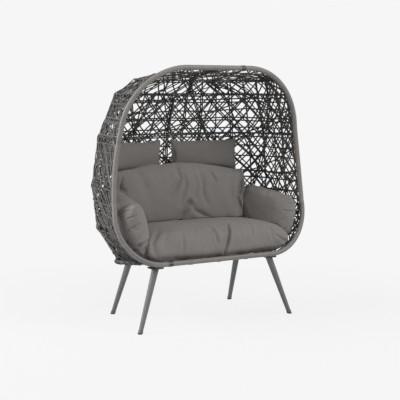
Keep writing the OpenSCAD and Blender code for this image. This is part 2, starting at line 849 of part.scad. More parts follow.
// full is how square the plan is, pinch is how far the sides draw in between the corners
// bow moves the ends back, arch lifts the middle of the upper edge, flat squares the back face
// crease is [place across, depth, width] of one soft crease on the front face
module pillow(w, h, t, nu, nv, full = 0.6, pinch = 10, bow = 0, arch = 0, flat = 0, crease = [0, 0, 1]) {
  function across(u, v) = w / 2 * u * sqrt(1 - v * v / 2 * (1 - full)) - pinch * pow(u, 3) * (1 - v * v);
  function along(u, v) = h / 2 * v * sqrt(1 - u * u / 2 * (1 - full)) - pinch * pow(v, 3) * (1 - u * u)
    + arch * (1 - u * u) * (v + 1) / 2;
  function swell(u, v) = pow((1 - pow(u, 4)) * (1 - pow(v, 4)), 0.45);
  function face(u, v) =
    [across(u, v), along(u, v), t / 2 * swell(u, v) - crease[1] * swell(u, v)
      * exp(-pow((across(u, v) - crease[0]) / crease[2], 2)) - bow * u * u];
  function rear(u, v) =
    [across(u, v), along(u, v), -t / 2 * pow(swell(u, v), 1 - 0.7 * flat) - bow * u * u];
  function knot(i, n) = sin(90 * (2 * i / n - 1));
  cols = nu + 1;
  front_count = (nu + 1) * (nv + 1);
  front_pts = [for (j = [0:nv]) for (i = [0:nu]) face(knot(i, nu), knot(j, nv))];
  inner = [for (j = [1:nv - 1]) for (i = [1:nu - 1]) rear(knot(i, nu), knot(j, nv))];
  function back_index(i, j) =
    (i == 0 || i == nu || j == 0 || j == nv) ? j * cols + i : front_count + (j - 1) * (nu - 1) + i - 1;
  // Two triangles of a cell, parted so that none has all its corners on the border
  function cell(a, b, c, d, even) = even ? [[a, b, c], [a, c, d]] : [[a, b, d], [b, c, d]];
  function is_even(i, j) = (i < nu / 2) == (j < nv / 2);
  faces = [
    for (j = [0:nv - 1]) for (i = [0:nu - 1])
      let (a = j * cols + i)
      each cell(a, a + cols, a + cols + 1, a + 1, is_even(i, j)),
    for (j = [0:nv - 1]) for (i = [0:nu - 1])
      each cell(
        back_index(i, j), back_index(i + 1, j), back_index(i + 1, j + 1), back_index(i, j + 1), is_even(i, j)
      )
  ];
  polyhedron(points = concat(front_pts, inner), faces = faces, convexity = 4);
}

seat_bottom_z = floor_net_z + net_t + gap;
seat_front = 12;
seat_crease_x = 62;

module seat_cushion() {
  color(fabric_colour)
    translate([0, front_y + seat_front + seat_l / 2, seat_bottom_z + seat_t / 2])
      pillow(seat_w, seat_l, seat_t, 26, 18, full = 0.75, pinch = 6, flat = 0.35,
        crease = [seat_crease_x, 10, 18]);
}

back_lean = 8;
back_mid_x = -6;
back_set = 476;
back_y = front_y + back_set;
back_z = 722.4;
back_bow = 70;
back_arch = 14;

module back_cushion() {
  color(fabric_colour)
    translate([back_mid_x, back_y, back_z]) rotate([90 - back_lean, 0, 0])
      pillow(back_w, back_h, back_t, 26, 16, full = 0.6, pinch = 8, bow = -back_bow, arch = back_arch);
}

arm_inset = 116;
arm_x = rim_half_w - arm_inset;
arm_set = 276;
arm_y = front_y + arm_set;
arm_z = 654;
arm_turn = 6;
arm_lean = 9;
arm_dip = 6;

module arm_cushion_right() {
  color(fabric_colour)
    translate([arm_x, arm_y, arm_z]) rotate([arm_dip, 0, arm_turn]) rotate([90 - arm_lean, 0, -90])
      pillow(arm_l, arm_h, arm_t, 18, 12, full = 0.4, pinch = 6, arch = 10);
}

module arm_cushion_left() { mirror([1, 0, 0]) arm_cushion_right(); }

head_gap = 58;
head_mid_x = -25;
head_z = 936;

// Distances of the headrests' inner ends in front of the net between the middle and the upper hoop
head_set_right = 30.7;
head_set_left = 27.2;
head_net_y = front_y + middle_depth
  + (upper_depth - middle_depth) * (head_z - middle_z) / (upper_z - middle_z);
head_y_right = head_net_y - head_set_right;
head_y_left = head_net_y - head_set_left;
head_turn_right = 9;
head_turn_left = 12;

// A headrest whose inner end is at the gap and whose outer end turns forward with the shell
module headrest(side, y, turn) {
  color(fabric_colour)
    translate([head_mid_x + side * head_gap / 2, y, head_z])
      rotate([90, 0, -side * turn]) translate([side * head_w / 2, 0, 0])
        pillow(head_w, head_h, head_t, 14, 8, full = 0.85, pinch = 8, bow = -8);
}

module headrest_right() { headrest(1, head_y_right, head_turn_right); }
module headrest_left() { headrest(-1, head_y_left, head_turn_left); }

rim_lower();
rim_upper();
rim_spigots();
wrap_bands();
base_ring();
leg_rails();
seat_bars();
hoop_lower();
hoop_middle();
hoop_upper();
hoop_crown();
hoop_roof();
rib_centre();
rib_left();
rib_right();
floor_net();
net_lower();
net_middle();
net_upper();
net_crown();
net_shoulder();
net_roof();
leg_front_left();
leg_front_right();
leg_back_left();
leg_back_right();
leg_inserts();
leg_studs();
leg_plates();
plate_screws();
foot_caps();
seat_cushion();
back_cushion();
arm_cushion_left();
arm_cushion_right();
headrest_left();
headrest_right();
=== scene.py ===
"""Looks of the double egg chair: wound rim and base, woven shell, loose cushions and tapered legs."""

import json
import logging
import math
from dataclasses import dataclass, field
from enum import Enum

import bmesh
import bpy
import numpy as np
from mathutils import Matrix, Vector, bvhtree, kdtree, noise


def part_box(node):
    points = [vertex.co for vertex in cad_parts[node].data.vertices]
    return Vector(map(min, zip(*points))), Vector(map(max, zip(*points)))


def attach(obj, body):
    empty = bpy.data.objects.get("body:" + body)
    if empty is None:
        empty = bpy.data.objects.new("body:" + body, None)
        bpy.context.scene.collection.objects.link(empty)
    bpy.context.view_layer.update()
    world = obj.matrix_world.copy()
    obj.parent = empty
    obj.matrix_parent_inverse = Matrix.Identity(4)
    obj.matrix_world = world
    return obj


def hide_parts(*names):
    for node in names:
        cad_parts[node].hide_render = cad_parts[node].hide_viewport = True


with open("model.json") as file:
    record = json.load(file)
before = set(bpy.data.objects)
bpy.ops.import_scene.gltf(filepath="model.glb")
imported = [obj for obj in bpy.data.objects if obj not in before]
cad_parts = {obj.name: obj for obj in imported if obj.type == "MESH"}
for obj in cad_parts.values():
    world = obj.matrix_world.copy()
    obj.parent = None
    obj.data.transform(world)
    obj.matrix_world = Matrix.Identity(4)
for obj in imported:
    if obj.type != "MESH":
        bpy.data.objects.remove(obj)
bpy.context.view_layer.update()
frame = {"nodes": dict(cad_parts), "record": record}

LOG = logging.getLogger("egg_chair")
BODY = "root"
Points = np.ndarray


class Slot(Enum):
    """Material slots of the record."""

    RIM = "rim_wrap"
    WEAVE = "weave"
    STEEL = "steel_frame"
    LEGS = "legs"
    PLASTIC = "leg_plastic"
    FASTENERS = "fasteners"
    FABRIC = "fabric"


def unit(v: Points) -> Points:
    """Rows of v scaled to length one."""
    return v / np.maximum(np.linalg.norm(v, axis=-1, keepdims=True), 1e-12)


def chain_lengths(path: Points) -> Points:
    """Length along a row of points up to each of them."""
    steps = np.linalg.norm(np.diff(path, axis=0), axis=1)
    return np.concatenate([[0.0], np.cumsum(steps)])


def resampled(path: Points, count: int) -> Points:
    """A row of points at equal steps along a path.

    Args:
        path: points, one per row.
        count: how many points the new row has.

    Returns:
        The new points.
    """
    along = chain_lengths(path)
    t = np.linspace(0.0, along[-1], count)
    return np.stack([np.interp(t, along, path[:, k]) for k in range(path.shape[1])], axis=1)


def smooth_step(t: Points) -> Points:
    """Zero below 0, one above 1 and an even rise between."""
    t = np.clip(t, 0.0, 1.0)
    return t * t * (3 - 2 * t)


def smoothed(path: Points, window: int) -> Points:
    """A row of points averaged over a sliding window, with its ends kept.

    Args:
        path: points, one per row.
        window: how many neighbours are averaged, an odd number.

    Returns:
        As many points as path has.
    """
    reach = window // 2
    before = 2 * path[0] - path[reach:0:-1]
    after = 2 * path[-1] - path[-2:-reach - 2:-1]
    padded = np.vstack([before, path, after])
    kernel = np.ones(window) / window
    return np.stack([np.convolve(padded[:, k], kernel, "valid") for k in range(path.shape[1])], axis=1)


# Node groups and finishes


def new_group(name: str, inputs: dict[str, float], outputs: tuple[str, ...]) -> bpy.types.NodeTree:
    """A shader node group with a Vector input, number inputs and number outputs.

    Args:
        name: the group's name.
        inputs: names and default values of its numbers.
        outputs: names of the values it puts out.

    Returns:
        The group, with only its input and output nodes.
    """
    group = bpy.data.node_groups.new(name, "ShaderNodeTree")
    group.interface.new_socket("Vector", in_out="INPUT", socket_type="NodeSocketVector")
    for key, value in inputs.items():
        group.interface.new_socket(key, in_out="INPUT", socket_type="NodeSocketFloat").default_value = value
    for key in outputs:
        group.interface.new_socket(key, in_out="OUTPUT", socket_type="NodeSocketFloat")
    group.nodes.new("NodeGroupInput").name = "in"
    group.nodes.new("NodeGroupOutput").name = "out"
    return group


def feed(tree: bpy.types.NodeTree, socket: bpy.types.NodeSocket, value: object) -> None:
    """Gives an input a plain value or another node's output.

    Args:
        tree: the tree that holds both.
        socket: the input.
        value: a number, a colour or an output socket.
    """
    if isinstance(value, bpy.types.NodeSocket):
        tree.links.new(value, socket)
    else:
        socket.default_value = value


def new_node(
    tree: bpy.types.NodeTree, kind: str, inputs: dict[str | int, object] | None = None, **settings: object
) -> bpy.types.Node:
    """Adds a shader node.

    Args:
        tree: the tree that gets the node.
        kind: its type, such as Math or Bump.
        inputs: plain values or output sockets by the input's name or number.
        settings: the node's own choices, which are set first.

    Returns:
        The node.
    """
    node = tree.nodes.new(f"ShaderNode{kind}")
    for key, value in settings.items():
        setattr(node, key, value)
    for key, value in (inputs or {}).items():
        feed(tree, node.inputs[key], value)
    return node


def math_node(tree: bpy.types.NodeTree, what: str, *values: object) -> bpy.types.NodeSocket:
    """The result of one sum on numbers or sockets, in order."""
    return new_node(tree, "Math", dict(enumerate(values)), operation=what).outputs[0]


def noise_node(
    tree: bpy.types.NodeTree, vector: bpy.types.NodeSocket, scale: object, detail: float
) -> bpy.types.NodeSocket:
    """A noise between 0 and 1, from a scale that is a number or a socket and a count of finer layers."""
    inputs = {"Vector": vector, "Scale": scale, "Detail": detail}
    return new_node(tree, "TexNoise", inputs).outputs["Fac"]


def mixed_colour(
    tree: bpy.types.NodeTree, factor: object, first: object, second: object, blend_type: str = "MIX"
) -> bpy.types.NodeSocket:
    """Two colours mixed by a factor, in the named way."""
    inputs = {"Factor": factor, "A": first, "B": second}
    return new_node(tree, "Mix", inputs, data_type="RGBA", blend_type=blend_type).outputs["Result"]


def drift_group() -> bpy.types.NodeTree:
    """Slow and fine changes of tone over a surface, round 1.

    Returns:
        The group.
    """
    group = new_group("tone_drift", {"Scale": 8.0, "Amount": 0.1}, ("Tone",))
    g_in, g_out = group.nodes["in"], group.nodes["out"]
    slow = noise_node(group, g_in.outputs["Vector"], g_in.outputs["Scale"], 3.0)
    fast_scale = math_node(group, "MULTIPLY", g_in.outputs["Scale"], 23.0)
    fast = noise_node(group, g_in.outputs["Vector"], fast_scale, 2.0)
    both = math_node(group, "ADD", slow, math_node(group, "MULTIPLY", fast, 0.4))
    centred = math_node(group, "SUBTRACT", both, 0.7)
    swing = math_node(group, "MULTIPLY", g_in.outputs["Amount"], 2.0)
    tone = math_node(group, "MULTIPLY_ADD", centred, swing, 1.0)
    group.links.new(tone, g_out.inputs["Tone"])
    return group


def grain_group() -> bpy.types.NodeTree:
    """Fine grain for bump and roughness.

    Returns:
        The group.
    """
    group = new_group("fine_grain", {"Scale": 900.0}, ("Height",))
    g_in, g_out = group.nodes["in"], group.nodes["out"]
    grain = noise_node(group, g_in.outputs["Vector"], g_in.outputs["Scale"], 4.0)
    group.links.new(grain, g_out.inputs["Height"])
    return group


def weave_group() -> bpy.types.NodeTree:
    """Threads of a plain cloth weave that cross over and under each other.

    Returns:
        The group.
    """
    group = new_group("plain_weave", {"Scale": 900.0}, ("Height",))
    g_in, g_out = group.nodes["in"], group.nodes["out"]
    split = new_node(group, "SeparateXYZ", {"Vector": g_in.outputs["Vector"]})
    pitch = math_node(group, "MULTIPLY", g_in.outputs["Scale"], math.pi)
    u = math_node(group, "MULTIPLY", split.outputs["X"], pitch)
    v = math_node(group, "MULTIPLY", split.outputs["Y"], pitch)
    warp = math_node(group, "ABSOLUTE", math_node(group, "SINE", u))
    weft = math_node(group, "ABSOLUTE", math_node(group, "SINE", v))
    half_u = math_node(group, "SINE", math_node(group, "MULTIPLY", u, 0.5))
    half_v = math_node(group, "SINE", math_node(group, "MULTIPLY", v, 0.5))
    over = math_node(group, "GREATER_THAN", math_node(group, "MULTIPLY", half_u, half_v), 0.0)
    up = math_node(group, "MULTIPLY", warp, over)
    down = math_node(group, "MULTIPLY", weft, math_node(group, "SUBTRACT", 1.0, over))
    group.links.new(math_node(group, "ADD", up, down), g_out.inputs["Height"])
    return group


GROUPS = {"drift": drift_group(), "grain": grain_group(), "weave": weave_group()}


class Coordinates(Enum):
    """What a finish's patterns are laid on."""

    OBJECT = "object"
    ATTRIBUTE = "attribute"


@dataclass(frozen=True)
class Finish:
    """A surface finish with drifting tone and a fine bump.

    Attributes:
        name: the material's name.
        colour: red, green and blue before its tone drifts.
        roughness: middle of the roughness.
        metallic: 1 for bare metal.
        drift_scale: how dense the slow changes of tone are, per metre.
        drift: how far the tone changes.
        bump: name of the group that the relief comes from.
        bump_scale: how dense the relief is, per metre.
        bump_strength: strength of the relief.
        bump_distance: its height.
        tone_attribute: attribute of the piece that its tone also follows, if any.
        tone_spread: how far it does.
        laid_on: what the patterns are laid on.
        sheen: strength of the sheen.
        sheen_roughness: its roughness.
        roughness_spread: how far the roughness follows the relief.
        sole_colour: colour of what lies lower than the sole's height, if that differs.
        sole_height: height of the sole over the floor.
    """

    name: str
    colour: tuple[float, float, float]
    roughness: float
    metallic: float = 0.0
    drift_scale: float = 8.0
    drift: float = 0.1
    bump: str = "grain"
    bump_scale: float = 900.0
    bump_strength: float = 0.1
    bump_distance: float = 0.0005
    tone_attribute: str = ""
    tone_spread: float = 0.0
    laid_on: Coordinates = Coordinates.OBJECT
    sheen: float = 0.0
    sheen_roughness: float = 0.5
    roughness_spread: float = 0.08
    sole_colour: tuple[float, float, float] | None = None
    sole_height: float = 0.0

    def _vector(self, tree: bpy.types.NodeTree) -> bpy.types.NodeSocket:
        """The coordinates that the patterns read.

        Args:
            tree: the material's tree.

        Returns:
            The vector socket.
        """
        if self.laid_on is Coordinates.ATTRIBUTE:
            return new_node(tree, "Attribute", attribute_name="cloth").outputs["Vector"]
        return new_node(tree, "TexCoord").outputs["Object"]

    def _plain_colour(self, tree: bpy.types.NodeTree) -> object:
        """The colour before its tone drifts: one colour, or two that part at the sole's height.

        Args:
            tree: the material's tree.

        Returns:
            A colour or a colour socket.
        """
        colour = (*self.colour, 1.0)
        if not self.sole_colour:
            return colour
        place = new_node(tree, "SeparateXYZ", {"Vector": new_node(tree, "TexCoord").outputs["Object"]})
        low = math_node(tree, "LESS_THAN", place.outputs["Z"], self.sole_height)
        return mixed_colour(tree, low, colour, (*self.sole_colour, 1.0))

    def _tone(self, tree: bpy.types.NodeTree, vector: bpy.types.NodeSocket) -> bpy.types.NodeSocket:
        """The tone that the colour is multiplied by.

        Args:
            tree: the material's tree.
            vector: the coordinates of the drift.

        Returns:
            The value socket.
        """
        inputs = {"Scale": self.drift_scale, "Amount": self.drift, "Vector": vector}
        tone = new_node(tree, "Group", inputs, node_tree=GROUPS["drift"]).outputs["Tone"]
        if not self.tone_attribute:
            return tone
        own = new_node(tree, "Attribute", attribute_name=self.tone_attribute).outputs["Fac"]
        own = math_node(tree, "MULTIPLY_ADD", own, self.tone_spread, 1.0 - self.tone_spread / 2)
        return math_node(tree, "MULTIPLY", tone, own)

    def material(self) -> bpy.types.Material:
        """The finish as a node material, made once.

        Returns:
            The material.
        """
        made = bpy.data.materials.get(self.name)
        if made:
            return made
        made = bpy.data.materials.new(self.name)
        made.use_nodes = True
        tree = made.node_tree
        vector = self._vector(tree)
        bump = {"Scale": self.bump_scale, "Vector": vector}
        height = new_node(tree, "Group", bump, node_tree=GROUPS[self.bump]).outputs["Height"]
        relief = {"Strength": self.bump_strength, "Distance": self.bump_distance, "Height": height}
        smooth = self.roughness - self.roughness_spread / 2
        tone = self._tone(tree, vector)
        inputs = {
            "Base Color": mixed_colour(tree, 1.0, self._plain_colour(tree), tone, "MULTIPLY"),
            "Roughness": math_node(tree, "MULTIPLY_ADD", height, self.roughness_spread, smooth),
            "Normal": new_node(tree, "Bump", relief).outputs["Normal"],
            "Metallic": self.metallic,
        }
        if self.sheen:
            inputs |= {"Sheen Weight": self.sheen, "Sheen Roughness": self.sheen_roughness}
        for key, value in inputs.items():
            feed(tree, tree.nodes["Principled BSDF"].inputs[key], value)
        return made


FINISHES = {
    Slot.RIM: Finish(
        "wound_strip", (0.172, 0.161, 0.153), 0.5, drift_scale=5, drift=0.12, bump_scale=500,
        bump_strength=0.12, tone_attribute="tone", tone_spread=0.12,
    ),
    Slot.WEAVE: Finish(
        "woven_strand", (0.043, 0.0385, 0.036), 0.42, drift_scale=14, drift=0.25, bump_scale=700,
        bump_strength=0.15, tone_attribute="tone", tone_spread=0.5,
    ),
    Slot.STEEL: Finish("dark_powder_coat", (0.055, 0.053, 0.052), 0.5, bump_scale=1400, bump_strength=0.2),
    Slot.LEGS: Finish("grey_powder_coat", (0.135, 0.135, 0.138), 0.48, bump_scale=1600, bump_strength=0.22),
    Slot.PLASTIC: Finish("moulded_plastic", (0.025, 0.025, 0.025), 0.55, bump_scale=1200),
    Slot.FASTENERS: Finish("zinc_plate", (0.5, 0.5, 0.48), 0.35, metallic=1.0, bump_scale=1800),
    Slot.FABRIC: Finish(
        "outdoor_cloth", (0.197, 0.182, 0.172), 0.85, drift_scale=7, drift=0.05, bump="weave", bump_scale=700,
        bump_strength=0.25, bump_distance=0.0004, laid_on=Coordinates.ATTRIBUTE, sheen=0.12,
    ),
}
CAP_FINISH = Finish(
    "capped_foot", (0.125, 0.125, 0.128), 0.5, bump_scale=1200,
    sole_colour=(0.022, 0.022, 0.022), sole_height=0.009,
)
BASE_FINISH = Finish(
    "wound_base_strip", (0.070, 0.064, 0.061), 0.5, drift_scale=5, drift=0.12, bump_scale=500,
    bump_strength=0.12, tone_attribute="tone", tone_spread=0.4,
)


def finish_piece(
    piece: bpy.types.Object, slot: Slot, *nodes: str, finish: Finish | None = None
) -> bpy.types.Object:
    """Dresses a new piece, rides it on the frame and hides the CAD nodes that it replaces.

    Args:
        piece: the object, in place.
        slot: the record's slot of its finish.
        nodes: CAD nodes it replaces.
        finish: its own finish, where that differs from its slot's.

    Returns:
        The same object.
    """
    piece.data.materials.clear()
    piece.data.materials.append((finish or FINISHES[slot]).material())
    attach(piece, BODY)
    if nodes:
        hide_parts(*nodes)
    LOG.info("%s: %d faces, %s", piece.name, len(piece.data.polygons), slot.value)
    return piece


# Tubes and strands


def straight_tubes(count: int, rings: int, sides: int) -> bpy.types.Mesh:
    """Copies of one straight tube of unit radius along Z, each in the same place.

    Args:
        count: how many tubes.
        rings: how many rings of points each tube has.
        sides: how many points a ring has.

    Returns:
        A mesh whose vertices run tube by tube in one fixed order.
    """
    bm = bmesh.new()
    bmesh.ops.create_circle(bm, cap_ends=True, radius=1.0, segments=sides)
    grown = bmesh.ops.extrude_face_region(bm, geom=bm.faces[:])["geom"]
    bmesh.ops.translate(bm, vec=(0, 0, 1), verts=[g for g in grown if isinstance(g, bmesh.types.BMVert)])
    upright = [e for e in bm.edges if abs(e.verts[0].co.z - e.verts[1].co.z) > 0.5]
    if rings > 2:
        bmesh.ops.subdivide_edges(bm, edges=upright, cuts=rings - 2)
    bmesh.ops.recalc_face_normals(bm, faces=bm.faces[:])
    made = 1
    while made < count:
        more = min(made, count - made)
        per = len(bm.verts) // made
        bm.verts.ensure_lookup_table()
        verts = bm.verts[: more * per]
        faces = {f for v in verts for f in v.link_faces}
        edges = {e for v in verts for e in v.link_edges}
        rest = sorted(edges, key=lambda e: e.index) + sorted(faces, key=lambda f: f.index)
        bmesh.ops.duplicate(bm, geom=verts + rest)
        bm.verts.index_update()
        bm.edges.index_update()
        bm.faces.index_update()
        made += more
    mesh = bpy.data.meshes.new("tubes")
    bm.to_mesh(mesh)
    bm.free()
    return mesh


def coordinates(mesh: bpy.types.Mesh) -> Points:
    """A mesh's vertex places.

    Args:
        mesh: the mesh.

    Returns:
        One row per vertex.
    """
    co = np.zeros(len(mesh.vertices) * 3)
    mesh.vertices.foreach_get("co", co)
    return co.reshape(-1, 3)


def vertex_normals(mesh: bpy.types.Mesh) -> Points:
    """A mesh's vertex normals.

    Args:
        mesh: the mesh.

    Returns:
        One row per vertex.
    """
    mesh.update()
    out = np.zeros(len(mesh.vertices) * 3)
    mesh.vertex_normals.foreach_get("vector", out)
    return out.reshape(-1, 3)


def move_to(mesh: bpy.types.Mesh, places: Points) -> None:
    """Moves a mesh's vertices to new places."""
    mesh.vertices.foreach_set("co", places.reshape(-1).astype(np.float32))
    mesh.update()


def apply_modifiers(piece: bpy.types.Object) -> None:
    """Replaces a piece's mesh with the result of its modifiers.

    Args:
        piece: the object, which keeps no modifier.
    """
    graph = bpy.context.evaluated_depsgraph_get()
    made = bpy.data.meshes.new_from_object(piece.evaluated_get(graph))
    piece.modifiers.clear()
    old = piece.data
    piece.data = made
    bpy.data.meshes.remove(old)


def bent_tubes(paths: Points, outward: Points, half_w: Points, half_t: Points, sides: int) -> bpy.types.Mesh:
    """Tubes of oval section along paths that all have the same number of points.

    Args:
        paths: places of the middle lines, tube by ring by 3.
        outward: directions of the short axis of the section, of the same shape.
        half_w: half widths, tube by ring or tube by ring by side.
        half_t: half thicknesses, of the same shape.
        sides: points in a section.

    Returns:
        One mesh that holds all the tubes.
    """
    count, rings = paths.shape[:2]
    mesh = straight_tubes(count, rings, sides)
    flat = coordinates(mesh).reshape(count, rings * sides, 3)
    ring = np.rint(flat[..., 2] * (rings - 1)).astype(int)
    angle = np.arctan2(flat[..., 1], flat[..., 0])
    side_index = np.rint(angle / (2 * math.pi / sides)).astype(int) % sides
    tangent = unit(np.gradient(paths, axis=1))
    side = unit(np.cross(tangent, outward))
    top = np.cross(side, tangent)
    rows = np.arange(count)[:, None]
    if half_w.ndim == 3:
        w, t = half_w[rows, ring, side_index], half_t[rows, ring, side_index]
    else:
        w, t = half_w[rows, ring], half_t[rows, ring]
    placed = (
        paths[rows, ring]
        + side[rows, ring] * (w * np.cos(angle))[..., None]
        + top[rows, ring] * (t * np.sin(angle))[..., None]
    )
    move_to(mesh, placed)
    return mesh


def tone_attribute(mesh: bpy.types.Mesh, values: Points) -> None:
    """Keeps one number per vertex as the mesh's own tone."""
    mesh.attributes.new("tone", "FLOAT", "POINT").data.foreach_set("value", values.astype(np.float32))


def joined(meshes: list[bpy.types.Mesh], name: str) -> bpy.types.Object:
    """One object from several meshes, with smooth, outward faces.

    Args:
        meshes: the meshes, which are used up.
        name: the piece's name.

    Returns:
        The new object, linked to the scene.
    """
    bm = bmesh.new()
    for mesh in meshes:
        bm.from_mesh(mesh)
        bpy.data.meshes.remove(mesh)
    bmesh.ops.recalc_face_normals(bm, faces=bm.faces[:])
    whole = bpy.data.meshes.new(name)
    bm.to_mesh(whole)
    bm.free()
    whole.shade_smooth()
    piece = bpy.data.objects.new(name, whole)
    bpy.context.scene.collection.objects.link(piece)
    return piece


@dataclass
class StrandBundle:
    """Strands of one size that become one piece."""

    name: str
    width: float = 0.0096
    thickness: float = 0.0046
    step: float = 0.018
    sides: int = 6
    runs: list[tuple[Points, Points, float]] = field(default_factory=list)

    def add(self, path: Points, outward: Points, tone: float) -> None:
        """Adds a strand, unless it is shorter than it is wide.

        Args:
            path: points of its middle line.
            outward: the direction that its flat side faces at each of them.
            tone: its own tone, from 0 to 1.
        """
        if len(path) > 1 and chain_lengths(path)[-1] > self.width:
            self.runs.append((path, outward, tone))

    def build(self) -> bpy.types.Object:
        """Makes all strands, those of one length together.

        Returns:
            One object.
        """
        groups: dict[int, list[tuple[Points, Points, float]]] = {}
        for path, outward, tone in self.runs:
            length = chain_lengths(path)[-1]
            count = max(2, math.ceil(length / self.step) + 1)
            both = resampled(np.hstack([path, outward]), count)
            groups.setdefault(count, []).append((both[:, :3], unit(both[:, 3:]), tone))
        meshes = []
        for count, items in sorted(groups.items()):
            paths = np.stack([i[0] for i in items])
            outward = np.stack([i[1] for i in items])
            size = np.ones(paths.shape[:2])
            mesh = bent_tubes(paths, outward, size * self.width / 2, size * self.thickness / 2, self.sides)
            tone_attribute(mesh, np.repeat([i[2] for i in items], count * self.sides))
            meshes.append(mesh)
        return joined(meshes, self.name)


# The lines that the frame follows


def interpolated(table: Points, u: Points) -> Points:
    """Reads a table of equally spaced points at shares of its length.

    Args:
        table: points, one per row.
        u: shares from 0 to 1.

    Returns:
        One point per share.
    """
    x = np.clip(u, 0.0, 1.0) * (len(table) - 1)
    i = np.minimum(x.astype(int), len(table) - 2)
    f = (x - i)[..., None]
    return table[i] * (1 - f) + table[i + 1] * f


@dataclass(frozen=True)
class RimLine:
    """Middle line of the tube that edges the opening, on the right-hand side.

    Attributes:
        front_y: the foremost point of the tube.
        tube_r: radius of the tube.
        half_w: how far the circle of the lower corner reaches from the middle.
        top_half_w: how far that of the upper corner does.
        bottom_z: height of the bottom rail.
        top_z: height of the top rail.
        bottom_r: radius of the lower corner.
        top_r: radius of the upper corner.
        swell: how far the upright side bulges outward.
        lean: how far the top lies behind the bottom.
        bow: how far the middle lies behind the straight line between them.
        joint_z: height of the joint between the two tubes.
    """

    front_y: float
    tube_r: float = 0.0145
    half_w: float = 0.642
    top_half_w: float = 0.594
    bottom_z: float = 0.384
    top_z: float = 1.486
    bottom_r: float = 0.272
    top_r: float = 0.389
    swell: float = 0.011
    lean: float = 0.021
    bow: float = 0.086
    joint_z: float = 1.070

    def depth(self, z: Points) -> Points:
        """Y of the middle line at heights z."""
        s = (z - self.bottom_z) / (self.top_z - self.bottom_z)
        return self.front_y + self.tube_r + self.lean * s + self.bow * 4 * s * (1 - s)

    def _arc(self, low: bool, start: float, end: float, count: int) -> Points:
        """X and Z of points on one of the two corner arcs.

        Args:
            low: true for the lower arc.
            start: angle of the first point, in radians.
            end: angle of the last one.
            count: how many points.

        Returns:
            One row per point.
        """
        a = np.linspace(start, end, count)
        r = self.bottom_r if low else self.top_r
        centre = self.centre(low)
        return np.stack([centre[0] + r * np.cos(a), centre[1] + r * np.sin(a)], axis=1)

    def centre(self, low: bool) -> Points:
        """X and Z of the centre of a corner arc.

        Args:
            low: true for the lower arc.

        Returns:
            The two numbers.
        """
        if low:
            return np.array([self.half_w - self.bottom_r, self.bottom_z + self.bottom_r])
        return np.array([self.top_half_w - self.top_r, self.top_z - self.top_r])

    def turn(self) -> float:
        """Angle at which both arcs touch the line along the upright side.

        Returns:
            The angle in radians.
        """
        across = self.centre(False) - self.centre(True)
        lean = math.atan2(across[1], across[0])
        return lean - math.acos((self.bottom_r - self.top_r) / float(np.linalg.norm(across)))

    def raised(self, xz: Points) -> Points:
        """Points of the middle line from their X and Z."""
        return np.stack([xz[:, 0], self.depth(xz[:, 1]), xz[:, 1]], axis=1)

    def half(self, count: int = 1200) -> Points:
        """The whole right half, from the bottom's middle to the top's.

        Args:
            count: how many points.

        Returns:
            Equally spaced points.
        """
        turn = self.turn()
        low = self._arc(True, -math.pi / 2, turn, 90)
        high = self._arc(False, turn, math.pi / 2, 90)
        t = np.linspace(0, 1, 60)[1:-1, None]
        out = np.array([math.cos(turn), math.sin(turn)])
        side = low[-1] * (1 - t) + high[0] * t + self.swell * 4 * t * (1 - t) * out
        ends = [np.array([[0.0, self.bottom_z]]), np.array([[0.0, self.top_z]])]
        xz = np.vstack([ends[0], low, side, high, ends[1]])
        return resampled(self.raised(resampled(xz, count)), count)

    def at_height(self, z: Points) -> Points:
        """Points of the upright part at given heights.

        Args:
            z: the heights.

        Returns:
            One point per height.
        """
        half = self.half()
        rising = half[(half[:, 2] > self.bottom_z + 1e-6) & (half[:, 2] < self.top_z - 1e-6)]
        return np.stack([np.interp(z, rising[:, 2], rising[:, k]) for k in range(3)], axis=-1)


@dataclass(frozen=True)
class Plan:
    """How every hoop runs: straight side, round corner, straight back."""

    taper: float = 0.1
    swell: float = 0.06

    def pieces(self, start: Points, back_y: float, corner_r: float) -> tuple[Points, Points, Points]:
        """The three stretches of one hoop's right half, in plan.

        Args:
            start: X and Y of the front end.
            back_y: Y at the middle of the back.
            corner_r: bending radius of the corner.

        Returns:
            Points of the side, of the corner and of the back.
        """
        side = unit(np.array([-self.taper, 1.0]))
        back = unit(np.array([-1.0, self.swell]))
        meet_x = (start[0] - self.taper * (back_y - start[1])) / (1 - self.taper * self.swell)
        meet = np.array([meet_x, back_y - self.swell * meet_x])
        turn = math.acos(float(side @ back))
        first = meet - side * corner_r * math.tan(turn / 2)
        centre = first + corner_r * np.array([-side[1], side[0]])
        a = np.linspace(0, turn, 60)[:, None]
        spoke = first - centre
        across = np.array([-spoke[1], spoke[0]])
        arc = centre + np.cos(a) * spoke + np.sin(a) * across
        return np.stack([start, first]), arc, np.stack([arc[-1], [0.0, back_y]])


